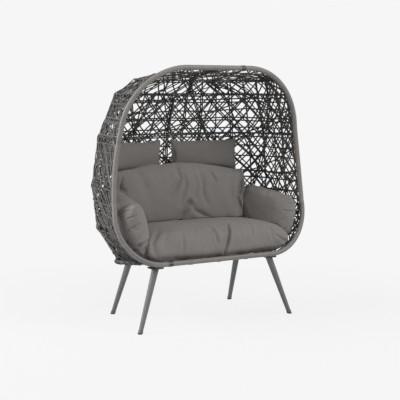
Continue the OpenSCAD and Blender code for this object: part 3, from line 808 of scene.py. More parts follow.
class Shell:
    """The smooth surface that the strands lie on.

    A place on it is (a, b) in metres: a runs along the hoops from the middle of the back, to the right above
    0, and b runs up the middle of the back from the base ring, over the crown, to the top of the rim.
    """

    TABLE = 700
    HOOPS = ("hoop_lower", "hoop_middle", "hoop_upper", "hoop_crown", "hoop_roof")
    CORNERS = (0.25, 0.25, 0.25, 0.205, 0.205)

    def __init__(self, rim: RimLine, ring: "BaseRing") -> None:
        """Reads the hoops' heights and depths from the frame and lays the level lines.

        Args:
            rim: middle line of the rim, where the hoops start.
            ring: middle line of the base tube, the lowest level.
        """
        self.rim, self.plan = rim, Plan()
        self.rod_r = 0.005
        pieces = []
        for name, corner_r in zip(self.HOOPS, self.CORNERS):
            low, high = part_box(name)
            z = (low.z + high.z) / 2
            start = rim.at_height(np.array(z))
            flat = self.plan.pieces(start[:2], high.y - self.rod_r, corner_r)
            pieces.append([np.column_stack([p, np.full(len(p), z)]) for p in flat])
        sizes = [chain_lengths(p)[-1] for p in pieces[1]]
        self.half_a = sum(sizes)
        self.breaks = (sizes[0] / self.half_a, (sizes[0] + sizes[1]) / self.half_a)
        pieces.insert(0, ring.wall_pieces(self.plan))
        pieces.append(self._top_pieces(pieces[-1][0][0, 2]))
        self.levels = np.stack([self._table(p) for p in pieces])
        backs = self.levels[:, -1]
        self.b = chain_lengths(backs)
        self.top_b = float(self.b[-1])

    def _top_pieces(self, roof_z: float) -> list[Points]:
        """The rim's top as three stretches that face those of the roof hoop.

        Args:
            roof_z: the roof hoop's height.

        Returns:
            Points of each stretch.
        """
        rim = self.rim
        start = math.asin((roof_z - rim.centre(False)[1]) / rim.top_r)
        knot = start + (math.pi / 2 - start) / 4
        arcs = [rim.raised(rim._arc(False, *ends, 40)) for ends in ((start, knot), (knot, math.pi / 2))]
        middle = rim.raised(np.array([[0.0, rim.top_z]]))
        return [*arcs, np.vstack([arcs[1][-1:], middle])]

    def _table(self, pieces: list[Points]) -> Points:
        """A level line's table, whose stretches meet at the same shares of it on all levels.

        Args:
            pieces: points of the side, of the corner and of the back.

        Returns:
            As many points on every level.
        """
        shares = np.diff([0.0, *self.breaks, 1.0])
        counts = [int(round(s * self.TABLE)) + 1 for s in shares]
        rows = [resampled(p, n) for p, n in zip(pieces, counts)]
        whole = np.vstack([rows[0], rows[1][1:], rows[2][1:]])
        u = np.concatenate([
            np.linspace(0, self.breaks[0], counts[0]),
            np.linspace(self.breaks[0], self.breaks[1], counts[1])[1:],
            np.linspace(self.breaks[1], 1, counts[2])[1:],
        ])
        even = np.linspace(0, 1, self.TABLE)
        return np.stack([np.interp(even, u, whole[:, k]) for k in range(3)], axis=1)

    def at(self, a: Points, b: Points) -> Points:
        """Places in space of places on the shell.

        Args:
            a: distances along the hoops.
            b: distances up the back.

        Returns:
            Points, one per place.
        """
        b = np.clip(b, 0.0, self.top_b)
        u = np.clip(1 - np.abs(a) / self.half_a, 0.0, 1.0)
        j = np.clip(np.searchsorted(self.b, b, side="right") - 1, 0, len(self.b) - 2)
        t = ((b - self.b[j]) / (self.b[j + 1] - self.b[j]))[..., None]
        out = np.zeros((*np.shape(b), 3))
        for k in range(len(self.b) - 1):
            here = j == k
            if not here.any():
                continue
            low, high = self.levels[k], self.levels[k + 1]
            th, uh = t[here], u[here]
            place = interpolated(low, uh) * (1 - th) + interpolated(high, uh) * th
            chord = low[0] * (1 - th) + high[0] * th
            edge = self.rim.at_height(chord[:, 2]) - chord
            place += edge * (1 - smooth_step(uh / self.breaks[0]))[:, None]
            out[here] = place
        out[..., 0] *= np.where(a < 0, -1.0, 1.0)
        return out

    def wall(self) -> bvhtree.BVHTree:
        """The whole surface, with its faces turned outward.

        Returns:
            A search tree.
        """
        bm = bmesh.new()
        bmesh.ops.create_grid(bm, x_segments=160, y_segments=100, size=1.0)
        flat = np.array([v.co for v in bm.verts])
        places = self.at(flat[:, 0] * self.half_a, (flat[:, 1] + 1) / 2 * self.top_b)
        for v, place in zip(bm.verts, places):
            v.co = place
        bmesh.ops.recalc_face_normals(bm, faces=bm.faces[:])
        bm.normal_update()
        rear = max(bm.faces, key=lambda f: f.calc_center_median().y)
        if rear.normal.y < 0:
            bmesh.ops.reverse_faces(bm, faces=bm.faces[:])
        tree = bvhtree.BVHTree.FromBMesh(bm)
        bm.free()
        return tree

    def outward(self, a: Points, b: Points, reach: float = 0.004) -> Points:
        """Outward directions at places on the shell.

        Args:
            a: distances along the hoops.
            b: distances up the back.
            reach: how far to each side the slope is taken.

        Returns:
            One direction per place.
        """
        a = np.clip(a, -self.half_a + 2 * reach, self.half_a - 2 * reach)
        b = np.clip(b, 2 * reach, self.top_b - 2 * reach)
        along = self.at(a + reach, b) - self.at(a - reach, b)
        up = self.at(a, b + reach) - self.at(a, b - reach)
        return unit(np.cross(up, along))


@dataclass(frozen=True)
class BaseRing:
    """Middle line of the base tube: a U whose ends turn in to the two leg rails.

    Attributes:
        front_y: the foremost point of the chair.
        tube_r: radius of the tube.
        z: height of the line.
        half_w: distance from the middle to the start of the side.
        front: how far behind the foremost point the side starts.
        depth: how far behind it the back lies.
        corner_r: radius of the back corner.
        end_x: where its ends meet the leg rails.
        end_length: least length of the straight ends.
        toe_degrees: angle on the rim's lower corner where the weave's edge starts.
    """

    front_y: float
    tube_r: float = 0.0125
    z: float = 0.372
    half_w: float = 0.510
    front: float = 0.183
    depth: float = 0.505
    corner_r: float = 0.200
    end_x: float = 0.4083
    end_length: float = 0.014
    toe_degrees: float = -78.0

    def _plan(self, plan: Plan) -> tuple[Points, Points, Points]:
        """Its right half in plan.

        Args:
            plan: how the hoops run, which its back follows.

        Returns:
            Points of the front arc with its straight end, of the corner and of the back.
        """
        start = np.array([self.half_w, self.front_y + self.front])
        side, corner, back = plan.pieces(start, self.front_y + self.depth, self.corner_r)
        reach = float(np.linalg.norm(side[1] - side[0]))
        turn = math.pi / 2 + math.atan(plan.taper)
        r = reach * math.tan(turn / 2)
        centre = np.array([self.half_w - reach, start[1] + r])
        a = np.linspace(-math.pi / 2, math.pi / 2 - turn, 50)
        arc = centre + r * np.stack([np.cos(a), np.sin(a)], axis=1)
        arc = arc[arc[:, 0] > self.end_x + self.end_length]
        end = np.array([[self.end_x, arc[0, 1]]])
        return np.vstack([end, arc]), corner, back

    def half(self, plan: Plan) -> Points:
        """The right half of the tube's middle line, from its end to the middle of the back.

        Args:
            plan: how the hoops run.

        Returns:
            Points of the line.
        """
        front, corner, back = self._plan(plan)
        flat = np.vstack([front, corner[1:], back[1:]])
        return np.column_stack([flat, np.full(len(flat), self.z)])

    def wall_pieces(self, plan: Plan) -> list[Points]:
        """The weave's lower edge: from the rim's toe to the ring, then along the ring.

        Args:
            plan: how the hoops run.

        Returns:
            Points of the side, of the corner and of the back.
        """
        rim = RimLine(self.front_y)
        front, corner, back = self._plan(plan)
        toe = rim.raised(rim._arc(True, math.radians(self.toe_degrees), 0.0, 2))[0]
        raised = [np.column_stack([p, np.full(len(p), self.z)]) for p in (front[1:], corner, back)]
        return [np.vstack([toe, raised[0]]), raised[1], raised[2]]


# Wound tubes


@dataclass(frozen=True)
class WoundTube:
    """A tube wound with flat strip whose turns lie edge to edge.

    Attributes:
        name: the piece's name.
        radius: radius over the strip.
        strip: width of the strip.
        groove: depth of the groove between two turns.
        groove_share: half width of the groove, as a share of the strip.
        bulge_share: how far a turn bulges, as a share of the groove.
        chamfer: how far its ends are drawn in.
        rings_per_turn: rings of points per turn.
        sides: points in a ring.
        seed: number that the turns' tones start from.
    """

    name: str
    radius: float
    strip: float = 0.009
    groove: float = 0.0007
    groove_share: float = 0.09
    bulge_share: float = 0.3
    chamfer: float = 0.0012
    rings_per_turn: int = 6
    sides: int = 20
    seed: int = 7

    def build(self, path: Points, up: Points) -> bpy.types.Object:
        """The tube along a path.

        Args:
            path: points of its middle line.
            up: a direction that the path never follows.

        Returns:
            The piece.
        """
        length = chain_lengths(path)[-1]
        count = int(length / self.strip * self.rings_per_turn)
        line = resampled(path, count)
        tangent = unit(np.gradient(line, axis=0))
        outward = unit(np.cross(np.cross(tangent, up), tangent))
        s = np.linspace(0, length, count)[:, None]
        angle = 2 * math.pi * np.arange(self.sides)[None, :] / self.sides
        turn = np.mod(s / self.strip - angle / (2 * math.pi), 1.0)
        seam = np.exp(-((np.minimum(turn, 1 - turn) / self.groove_share) ** 2))
        bulge = self.bulge_share * self.groove * np.sin(math.pi * turn)
        end = np.minimum(s, length - s)
        chamfer = self.chamfer * np.exp(-((end / self.chamfer) ** 2))
        radius = self.radius - self.groove * seam + bulge - chamfer
        mesh = bent_tubes(line[None], outward[None], radius[None], radius[None], self.sides)
        number = np.floor(s / self.strip - angle / (2 * math.pi)).astype(int)
        tones = np.random.default_rng(self.seed).random(number.max() - number.min() + 1)
        tone_attribute(mesh, self._tones(tones[number - number.min()], count))
        return joined([mesh], self.name)

    def _tones(self, values: Points, count: int) -> Points:
        """Each strip turn's tone, in the order of the mesh's vertices.

        Args:
            values: tones by ring and side.
            count: how many rings the tube has.

        Returns:
            One tone per vertex.
        """
        order = straight_tubes(1, count, self.sides)
        co = coordinates(order)
        bpy.data.meshes.remove(order)
        ring = np.rint(co[:, 2] * (count - 1)).astype(int)
        side = np.rint(np.arctan2(co[:, 1], co[:, 0]) / (2 * math.pi / self.sides)).astype(int) % self.sides
        return values[ring, side]


def mirrored_whole(half: Points) -> Points:
    """A full line from its right half, which ends at X = 0: from the right end to the left one."""
    left = half[::-1] * np.array([-1.0, 1.0, 1.0])
    return np.vstack([half, left[1:]])


@dataclass(frozen=True)
class Rim:
    """The two wound tubes round the opening, square at their joints."""

    line: RimLine
    gap: float = 0.0003

    def build(self) -> None:
        """Makes both tubes."""
        half = self.line.half(2400)
        low = half[half[:, 2] < self.line.joint_z - self.gap / 2]
        high = half[half[:, 2] > self.line.joint_z + self.gap / 2]
        for node, path in (("rim_lower", low[::-1]), ("rim_upper", high)):
            tube = WoundTube(f"{node}_wound", self.line.tube_r)
            finish_piece(tube.build(mirrored_whole(path), np.array([0.0, 1.0, 0.0])), Slot.RIM, node)


@dataclass(frozen=True)
class Base:
    """The wound base tube."""

    ring: BaseRing
    plan: Plan

    def build(self) -> None:
        """Makes the tube."""
        path = mirrored_whole(self.ring.half(self.plan))
        tube = WoundTube("base_ring_wound", self.ring.tube_r, sides=18)
        finish_piece(tube.build(path, np.array([0.0, 0.0, 1.0])), Slot.RIM, "base_ring", finish=BASE_FINISH)


# The woven shell


@dataclass(frozen=True)
class Way:
    """Bands of parallel strands that cross the shell at one slope.

    Offsets are the strands' places in a band, kept is the share of them that is laid, and outside is 1 for
    bands that lie over the others.
    """

    degrees: float
    pitch: float
    offsets: tuple[float, ...]
    outside: float
    kept: float = 0.94


@dataclass
class Weave:
    """Bands of strands laid over the hoops, field by field.

    Attributes:
        shell: the surface that they lie on.
        seed: number that the random draws start from.
        strand_t: thickness of a strand where it passes a hoop.
        step: distance between the points of a strand.
        overrun: how far a strand starts beyond the shell.
        band_drift: how far a band lies off its place, as a share of the pitch.
        kink: spread of the bends that a band's strands share.
        kink_every: least and greatest distance between those bends.
        turn: spread of a strand's own slope.
        sway: spread of a strand's own bends.
        crowding: how much closer the strands lie toward the rim.
        outer_lift: how far outer ways lie off the surface, and inner ones behind it.
        waves: height and length of a strand's waves up the back and along the hoops.
        rod_gap: gap between a strand and a hoop.
        rod_reach: how far from a hoop a strand starts to pass it.
        rim_fade: how far from the rim's sides a strand comes down to the surface.
        end_fade: the same from the base ring and the rim's top.
        dropped: share of the strands that each field leaves out.
        ways: the slopes.
        nodes: the CAD nets, from the lowest field up.
    """

    shell: Shell
    seed: int = 41
    strand_t: float = 0.004
    step: float = 0.01
    overrun: float = 0.1
    band_drift: float = 0.08
    kink: float = 0.002
    kink_every: tuple[float, float] = (0.16, 0.26)
    turn: float = 0.010
    sway: float = 0.0015
    crowding: float = 0.16
    outer_lift: float = 0.0024
    waves: tuple[tuple[float, float], ...] = ((0.0018, 0.03), (0.0015, 0.027))
    rod_gap: float = 0.0006
    rod_reach: float = 0.02
    rim_fade: float = 0.04
    end_fade: float = 0.03
    dropped: tuple[float, ...] = (0.0, 0.0, 0.0, 0.05, 0.2, 0.4)
    ways: tuple[Way, ...] = (
        Way(46, 0.081, (0.0, 0.014, 0.037), 1),
        Way(-45, 0.082, (0.0, 0.014, 0.037), -1),
        Way(0.5, 0.058, (0.0, 0.015), 1, 0.62),
        Way(89.5, 0.110, (0.0, 0.013), -1, 0.8),
        Way(20, 0.21, (0.0, 0.013), -1, 0.6),
        Way(-22, 0.21, (0.0, 0.013), 1, 0.6),
        Way(69, 0.22, (0.0, 0.013), 1, 0.6),
        Way(-67, 0.22, (0.0, 0.013), -1, 0.6),
    )
    nodes: tuple[str, ...] = ("net_lower", "net_middle", "net_upper", "net_crown", "net_shoulder", "net_roof")

    def build(self) -> None:
        """Lays all strands and makes one piece per field."""
        self.rng = np.random.default_rng(self.seed)
        self.bundles = [StrandBundle(f"woven_{n.removeprefix('net_')}") for n in self.nodes]
        for way in self.ways:
            self._lay(way)
        for bundle, node in zip(self.bundles, self.nodes):
            finish_piece(bundle.build(), Slot.WEAVE, node)

    def _lay(self, way: Way) -> None:
        """Lays every strand of one slope.

        Args:
            way: the slope and its bands.
        """
        half_a, top = self.shell.half_a, self.shell.top_b
        angle = math.radians(way.degrees)
        along = np.array([math.cos(angle), math.sin(angle)])
        side = np.array([-along[1], along[0]])
        middle = np.array([0.0, top / 2])
        reach = abs(side[0]) * half_a + abs(side[1]) * top / 2
        length = abs(along[0]) * half_a + abs(along[1]) * top / 2
        s = np.arange(-length - self.overrun, length + self.overrun, self.step)
        for i in range(-int(reach / way.pitch) - 1, int(reach / way.pitch) + 2):
            band = (i + self.rng.uniform(-self.band_drift, self.band_drift)) * way.pitch
            ends = length + 2 * self.overrun
            stations = np.arange(-ends, ends, self.rng.uniform(*self.kink_every))
            kinks = self.rng.normal(0, self.kink, len(stations))
            signs = self.rng.choice([-1.0, 1.0], len(self.shell.b))
            for offset in way.offsets:
                if self.rng.random() > way.kept:
                    continue
                turn = self.rng.normal(0, self.turn)
                own = kinks + self.rng.normal(0, self.sway, len(stations))
                line = middle + side * (band + offset) + s[:, None] * (along + turn * side)
                line = line + side * np.interp(s, stations, own)[:, None]
                self._cut(line, way.outside, signs, self.rng.random())

    def _cut(self, line: Points, outside: float, signs: Points, tone: float) -> None:
        """Cuts a strand at the shell's edges and at the hoops, and gives each part to its field.

        Args:
            line: the strand's places on the shell, one per row.
            outside: 1 if it lies over the others, or -1.
            signs: 1 for the hoops that it passes outside, or -1.
            tone: its own tone.
        """
        shell = self.shell
        share = line[:, 0] / shell.half_a
        line = np.column_stack([line[:, 0] * (1 + self.crowding * (1 - share**2)), line[:, 1]])
        inside = (np.abs(line[:, 0]) < shell.half_a) & (line[:, 1] > 0) & (line[:, 1] < shell.top_b)
        if inside.sum() < 3:
            return
        first, last = np.nonzero(inside)[0][[0, -1]]
        line = line[max(first - 1, 0): last + 2]
        a, b = np.clip(line[:, 0], -shell.half_a, shell.half_a), np.clip(line[:, 1], 0, shell.top_b)
        fields = np.clip(np.searchsorted(shell.b, b, side="right") - 1, 0, len(shell.b) - 2)
        place = shell.at(a, b)
        outward = shell.outward(a, b)
        lift = self._lift(a, b, outside, signs)
        place = place + outward * lift[:, None]
        start = 0
        for k in [*(np.nonzero(np.diff(fields))[0] + 1), len(a)]:
            end = min(k + 1, len(a))
            if end - start > 1 and self.rng.random() > self.dropped[fields[start]]:
                self.bundles[fields[start]].add(place[start:end], outward[start:end], tone)
            start = k

    def _lift(self, a: Points, b: Points, outside: float, signs: Points) -> Points:
        """How far a strand lies off the surface, over or under each hoop.

        Args:
            a: distances along the hoops.
            b: distances up the back.
            outside: 1 if it lies over the others, or -1.
            signs: 1 for the hoops that it passes outside, or -1.

        Returns:
            One distance per place.
        """
        phase = self.rng.uniform(0, 2 * math.pi)
        (up_height, up_length), (side_height, side_length) = self.waves
        lift = outside * self.outer_lift + up_height * np.sin(b / up_length + phase)
        lift = lift + side_height * np.sin(a / side_length + phase)
        over = self.shell.rod_r + self.strand_t / 2 + self.rod_gap
        for level, sign in zip(self.shell.b[1:-1], signs[1:-1]):
            near = np.exp(-(((b - level) / self.rod_reach) ** 2))
            lift = lift * (1 - near) + sign * over * near
        to_rim = smooth_step((self.shell.half_a - np.abs(a)) / self.rim_fade)
        to_ring = smooth_step(b / self.end_fade)
        to_top = smooth_step((self.shell.top_b - b) / self.end_fade)
        return lift * np.minimum(np.minimum(to_rim, to_ring), to_top)


@dataclass
class Rods:
    """The bent rods that carry the weave, and the strands that tie it to the base ring.

    Attributes:
        shell: the surface that the rods follow.
        rib_bend: where the side ribs stand on the back corners, as a share of each from its front.
        rib_foot: where the ribs start above the base ring.
        rib_gap: gap between the ribs and the hoops.
        side_rib_gap: what the side ribs have beyond that.
        wind_size: width and thickness of the strands.
        wind_pitches: mean distance between the turns of each strand.
        wind_lift: how far their middle lines lie off the tube.
        wind_step: distance between their points.
        wind_knots: distance between changes of their slope.
        wind_spread: how far their slope changes, as a share.
        seed: number that the random draws start from.
    """

    shell: Shell
    rib_bend: float = 1 / 3
    rib_foot: float = 0.008
    rib_gap: float = 0.0006
    side_rib_gap: float = 0.0021
    wind_size: tuple[float, float] = (0.0062, 0.0036)
    wind_pitches: tuple[float, float] = (0.031, 0.043)
    wind_lift: float = 0.0016
    wind_step: float = 0.0035
    wind_knots: float = 0.07
    wind_spread: float = 0.45
    seed: int = 5

    def _rod(self, name: str, path: Points, outward: Points, node: str) -> None:
        """Makes one smooth rod in place of a CAD one.

        Args:
            name: the piece's name.
            path: points of its middle line.
            outward: a direction across it at each of them.
            node: the CAD rod.
        """
        bundle = StrandBundle(name, 2 * self.shell.rod_r, 2 * self.shell.rod_r, step=0.012, sides=12)
        bundle.add(path, outward, 0.5)
        finish_piece(bundle.build(), Slot.STEEL, node)

    def build(self, ring: BaseRing) -> None:
        """Makes the hoops, the ribs and the winding round the base ring.

        Args:
            ring: the base tube.
        """
        self.rng = np.random.default_rng(self.seed)
        shell = self.shell
        a = np.linspace(-shell.half_a, shell.half_a, 500)
        for name, level in zip(shell.HOOPS, shell.b[1:-1]):
            b = np.full_like(a, level)
            path, outward = shell.at(a, b), shell.outward(a, b)
            keep = shell.half_a - np.abs(a) > shell.rim.tube_r
            self._rod(name.replace("hoop", "rod"), path[keep], outward[keep], name)
        corner = shell.half_a * (1 - shell.breaks[0] - (shell.breaks[1] - shell.breaks[0]) * self.rib_bend)
        for name, place, top in (
            ("rib_centre", 0.0, shell.top_b - shell.rim.tube_r),
            ("rib_left", -corner, float(shell.b[-2])),
            ("rib_right", corner, float(shell.b[-2])),
        ):
            path, outward = self._rib_line(place, top)
            self._rod(name.replace("rib", "upright"), path, outward, name)
        wind = StrandBundle("ring_winding", *self.wind_size, step=0.006, sides=6)
        path = mirrored_whole(ring.half(shell.plan))
        for pitch in self.wind_pitches:
            self._wind(wind, path, np.tile([0.0, 0.0, 1.0], (len(path), 1)), ring.tube_r, pitch)
        finish_piece(wind.build(), Slot.WEAVE)

    def _rib_line(self, place: float, top: float) -> tuple[Points, Points]:
        """Where a rib runs up inside the hoops.

        Args:
            place: its distance along the hoops.
            top: how far up the back it reaches.

        Returns:
            Points of its middle line and outward directions at them.
        """
        b = np.linspace(self.rib_foot, top, 400)
        a = np.full_like(b, place)
        outward = smoothed(self.shell.outward(a, b), 31)
        inset = 2 * self.shell.rod_r + self.rib_gap + self.side_rib_gap * (place != 0)
        return smoothed(self.shell.at(a, b), 31) - unit(outward) * inset, unit(outward)

    def _wind(self, bundle: StrandBundle, path: Points, outward: Points, radius: float, pitch: float) -> None:
        """Winds a strand round a tube with uneven turns.

        Args:
            bundle: what it is added to.
            path: points of the tube's middle line.
            outward: the direction of its start at each of them.
            radius: the tube's radius.
            pitch: mean distance between turns.
        """
        length = chain_lengths(path)[-1]
        count = int(length / self.wind_step)
        line = resampled(np.hstack([path, outward]), count)
        tangent = unit(np.gradient(line[:, :3], axis=0))
        top = unit(line[:, 3:])
        side = np.cross(tangent, top)
        s = np.linspace(0, length, count)
        knots = np.arange(0, length + 0.1, self.wind_knots)
        speed = 1 + self.wind_spread * np.interp(s, knots, self.rng.uniform(-1, 1, len(knots)))
        angle = 2 * math.pi * np.cumsum(speed) * (length / count) / pitch
        spoke = top * np.cos(angle)[:, None] + side * np.sin(angle)[:, None]
        bundle.add(line[:, :3] + spoke * (radius + self.wind_lift), spoke, self.rng.random())


@dataclass
class FloorNet:
    """The woven floor under the seat cushion.

    Attributes:
        ring: the base tube that it ends at.
        plan: how the hoops run.
        families: degrees, pitch and lift of each family of strands.
        shifts: where the strands of a pair lie.
        tilt: spread of their angle in degrees.
        drift: how far a pair lies off its place, as a share of the pitch.
        step: distance between the points of a strand.
        inset_share: how far its sides end inside the tube's middle line, as a share of the tube's radius.
        seed: number that the random draws start from.
    """

    ring: BaseRing
    plan: Plan
    families: tuple[tuple[float, float, float], ...] = (
        (45, 0.055, 0.001),
        (-45, 0.055, -0.001),
        (12, 0.09, 0.0),
        (-80, 0.1, 0.0),
    )
    shifts: tuple[float, float] = (0.0, 0.009)
    tilt: float = 4.0
    drift: float = 0.3
    step: float = 0.004
    inset_share: float = 0.4
    seed: int = 11

    def __post_init__(self) -> None:
        """Takes its plan from the ring and its height from the frame."""
        low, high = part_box("floor_net")
        self.z = (low.z + high.z) / 2
        half = self.ring.half(self.plan)[:, :2] - np.array([self.inset_share * self.ring.tube_r, 0.0])
        front = [[0.0, low.y], [self.ring.end_x, low.y]]
        right = np.vstack([front, half])
        self.outline = np.vstack([right, right[::-1] * np.array([-1.0, 1.0])])
        self.reach = float(np.abs(self.outline).max()) * 1.5
        self.rng = np.random.default_rng(self.seed)

    def _inside(self, p: Points) -> Points:
        """Which points of the plan lie inside the outline, by counting the edges beside each.

        Args:
            p: the points.

        Returns:
            True or false for each.
        """
        a, b = self.outline, np.roll(self.outline, -1, axis=0)
        crosses = (a[None, :, 1] > p[:, None, 1]) != (b[None, :, 1] > p[:, None, 1])
        slope = (b[:, 0] - a[:, 0]) / np.where(b[:, 1] == a[:, 1], 1e-9, b[:, 1] - a[:, 1])
        x = a[None, :, 0] + slope[None] * (p[:, None, 1] - a[None, :, 1])
        return (crosses & (x > p[:, None, 0])).sum(axis=1) % 2 == 1

    def build(self) -> None:
        """Lays crossing strands and cuts them to the outline."""
        bundle = StrandBundle("woven_floor", step=0.03)
        up = np.array([0.0, 0.0, 1.0])
        middle = self.outline.mean(axis=0)
        for degrees, pitch, lift in self.families:
            for i in range(-int(self.reach / pitch), int(self.reach / pitch) + 1):
                angle = math.radians(degrees + self.rng.normal(0, self.tilt))
                along = np.array([math.cos(angle), math.sin(angle)])
                side = np.array([-along[1], along[0]])
                foot = middle + side * (i + self.rng.uniform(-self.drift, self.drift)) * pitch
                tone = self.rng.random()
                for shift in self.shifts:
                    s = np.arange(-self.reach, self.reach, self.step)[:, None]
                    flat = foot + side * shift + s * along
                    inside = self._inside(flat)
                    edges = np.nonzero(np.diff(inside.astype(int)))[0]
                    for first, last in zip(edges[::2] + 1, edges[1::2]):
                        path = np.column_stack([flat[first:last], np.full(last - first, self.z + lift)])
                        bundle.add(path, np.tile(up, (len(path), 1)), tone)
        finish_piece(bundle.build(), Slot.WEAVE, "floor_net")


# Cushions


VIEWED = (-0.516, -0.849, 0.113)


@dataclass(frozen=True)
class Crease:
    """A groove in a cushion's cover with soft shoulders, along points seen from one side.

    Attributes:
        points: places in space.
        depth: how deep it is in its middle.
        width: half width of the groove.
        shoulder: height of the ridges beside it, as a share of the depth.
        facing: the direction that the creased side looks in.
        end_share: how far its fade is along at both ends.
        fade_power: power of the fade, smaller where the depth lasts longer.
        ridge_at: distance of the ridges from the groove, in widths.
        ridge_width: half width of the ridges, in widths.
        turn_share: how far the cover has to face that way for the full depth, as a cosine.
    """

    points: tuple[tuple[float, float, float], ...]
    depth: float = 0.008
    width: float = 0.007
    shoulder: float = 0.35
    facing: tuple[float, float, float] = VIEWED
    end_share: float = 0.08
    fade_power: float = 0.7
    ridge_at: float = 2.2
    ridge_width: float = 1.3
    turn_share: float = 0.3

    def depth_at(self, places: Points, normals: Points) -> Points:
        """How far the cover sinks, or stands up where below 0.

        Args:
            places: points of the cover.
            normals: its normals at them.

        Returns:
            One depth per point.
        """
        look = unit(np.array(self.facing))
        flat = places - (places @ look)[:, None] * look
        line = np.array(self.points)
        line = line - (line @ look)[:, None] * look
        along = chain_lengths(line)
        best = np.full(len(flat), np.inf)
        taper = np.zeros(len(flat))
        for i in range(len(line) - 1):
            edge = line[i + 1] - line[i]
            t = np.clip(((flat - line[i]) @ edge) / (edge @ edge), 0, 1)
            apart = np.linalg.norm(flat - line[i] - t[:, None] * edge, axis=1)
            share = (along[i] + t * (along[i + 1] - along[i])) / along[-1]
            taper = np.where(apart < best, share, taper)
            best = np.minimum(best, apart)
        taper = self.end_share + (1 - 2 * self.end_share) * taper
        fade = np.sin(math.pi * np.clip(taper, 0, 1)) ** self.fade_power
        groove = np.exp(-((best / self.width) ** 2))
        ridge = np.exp(-(((best - self.ridge_at * self.width) / (self.ridge_width * self.width)) ** 2))
        turned_to = smooth_step((normals @ look) / self.turn_share)
        return self.depth * fade * turned_to * (groove - self.shoulder * ridge)


class Nest:
    """The hollow that the cushions lie in."""

    def __init__(
        self, shell: Shell, wall_gap: float = 0.009, wall_reach: float = 0.09, rim_gap: float = 0.003
    ) -> None:
        """Keeps the shell's wall and the rim's middle line as search trees.

        Args:
            shell: the shell.
            wall_gap: how far the covers stay off its surface.
            wall_reach: how far beyond it a point is still brought back.
            rim_gap: how far they stay off the rim's tube.
        """
        self.wall, self.wall_gap, self.wall_reach = shell.wall(), wall_gap, wall_reach
        self.rim_gap = shell.rim.tube_r + rim_gap
        line = mirrored_whole(shell.rim.half()[::-1])
        self.rim = kdtree.KDTree(len(line))
        for i, place in enumerate(line):
            self.rim.insert(place, i)
        self.rim.balance()

    def held(self, co: Points) -> Points:
        """Points moved off the wall and off the rim.

        Args:
            co: the points, which are changed.

        Returns:
            The same rows.
        """
        for i, q in enumerate(co):
            place, outward, _, apart = self.wall.find_nearest(Vector(q))
            if apart < self.wall_reach and (Vector(q) - place) @ outward > -self.wall_gap:
                co[i] = place - outward * self.wall_gap
            middle, _, apart = self.rim.find(Vector(co[i]))
            if apart < self.rim_gap:
                co[i] = middle + (Vector(co[i]) - middle).normalized() * self.rim_gap
        return co


COVER_CLOTH = {
    "use_pressure": True,
    "uniform_pressure_force": 4.0,
    "quality": 4,
    "tension_stiffness": 12.0,
    "compression_stiffness": 4.0,
    "bending_stiffness": 0.15,
    "shrink_min": -0.03,
}


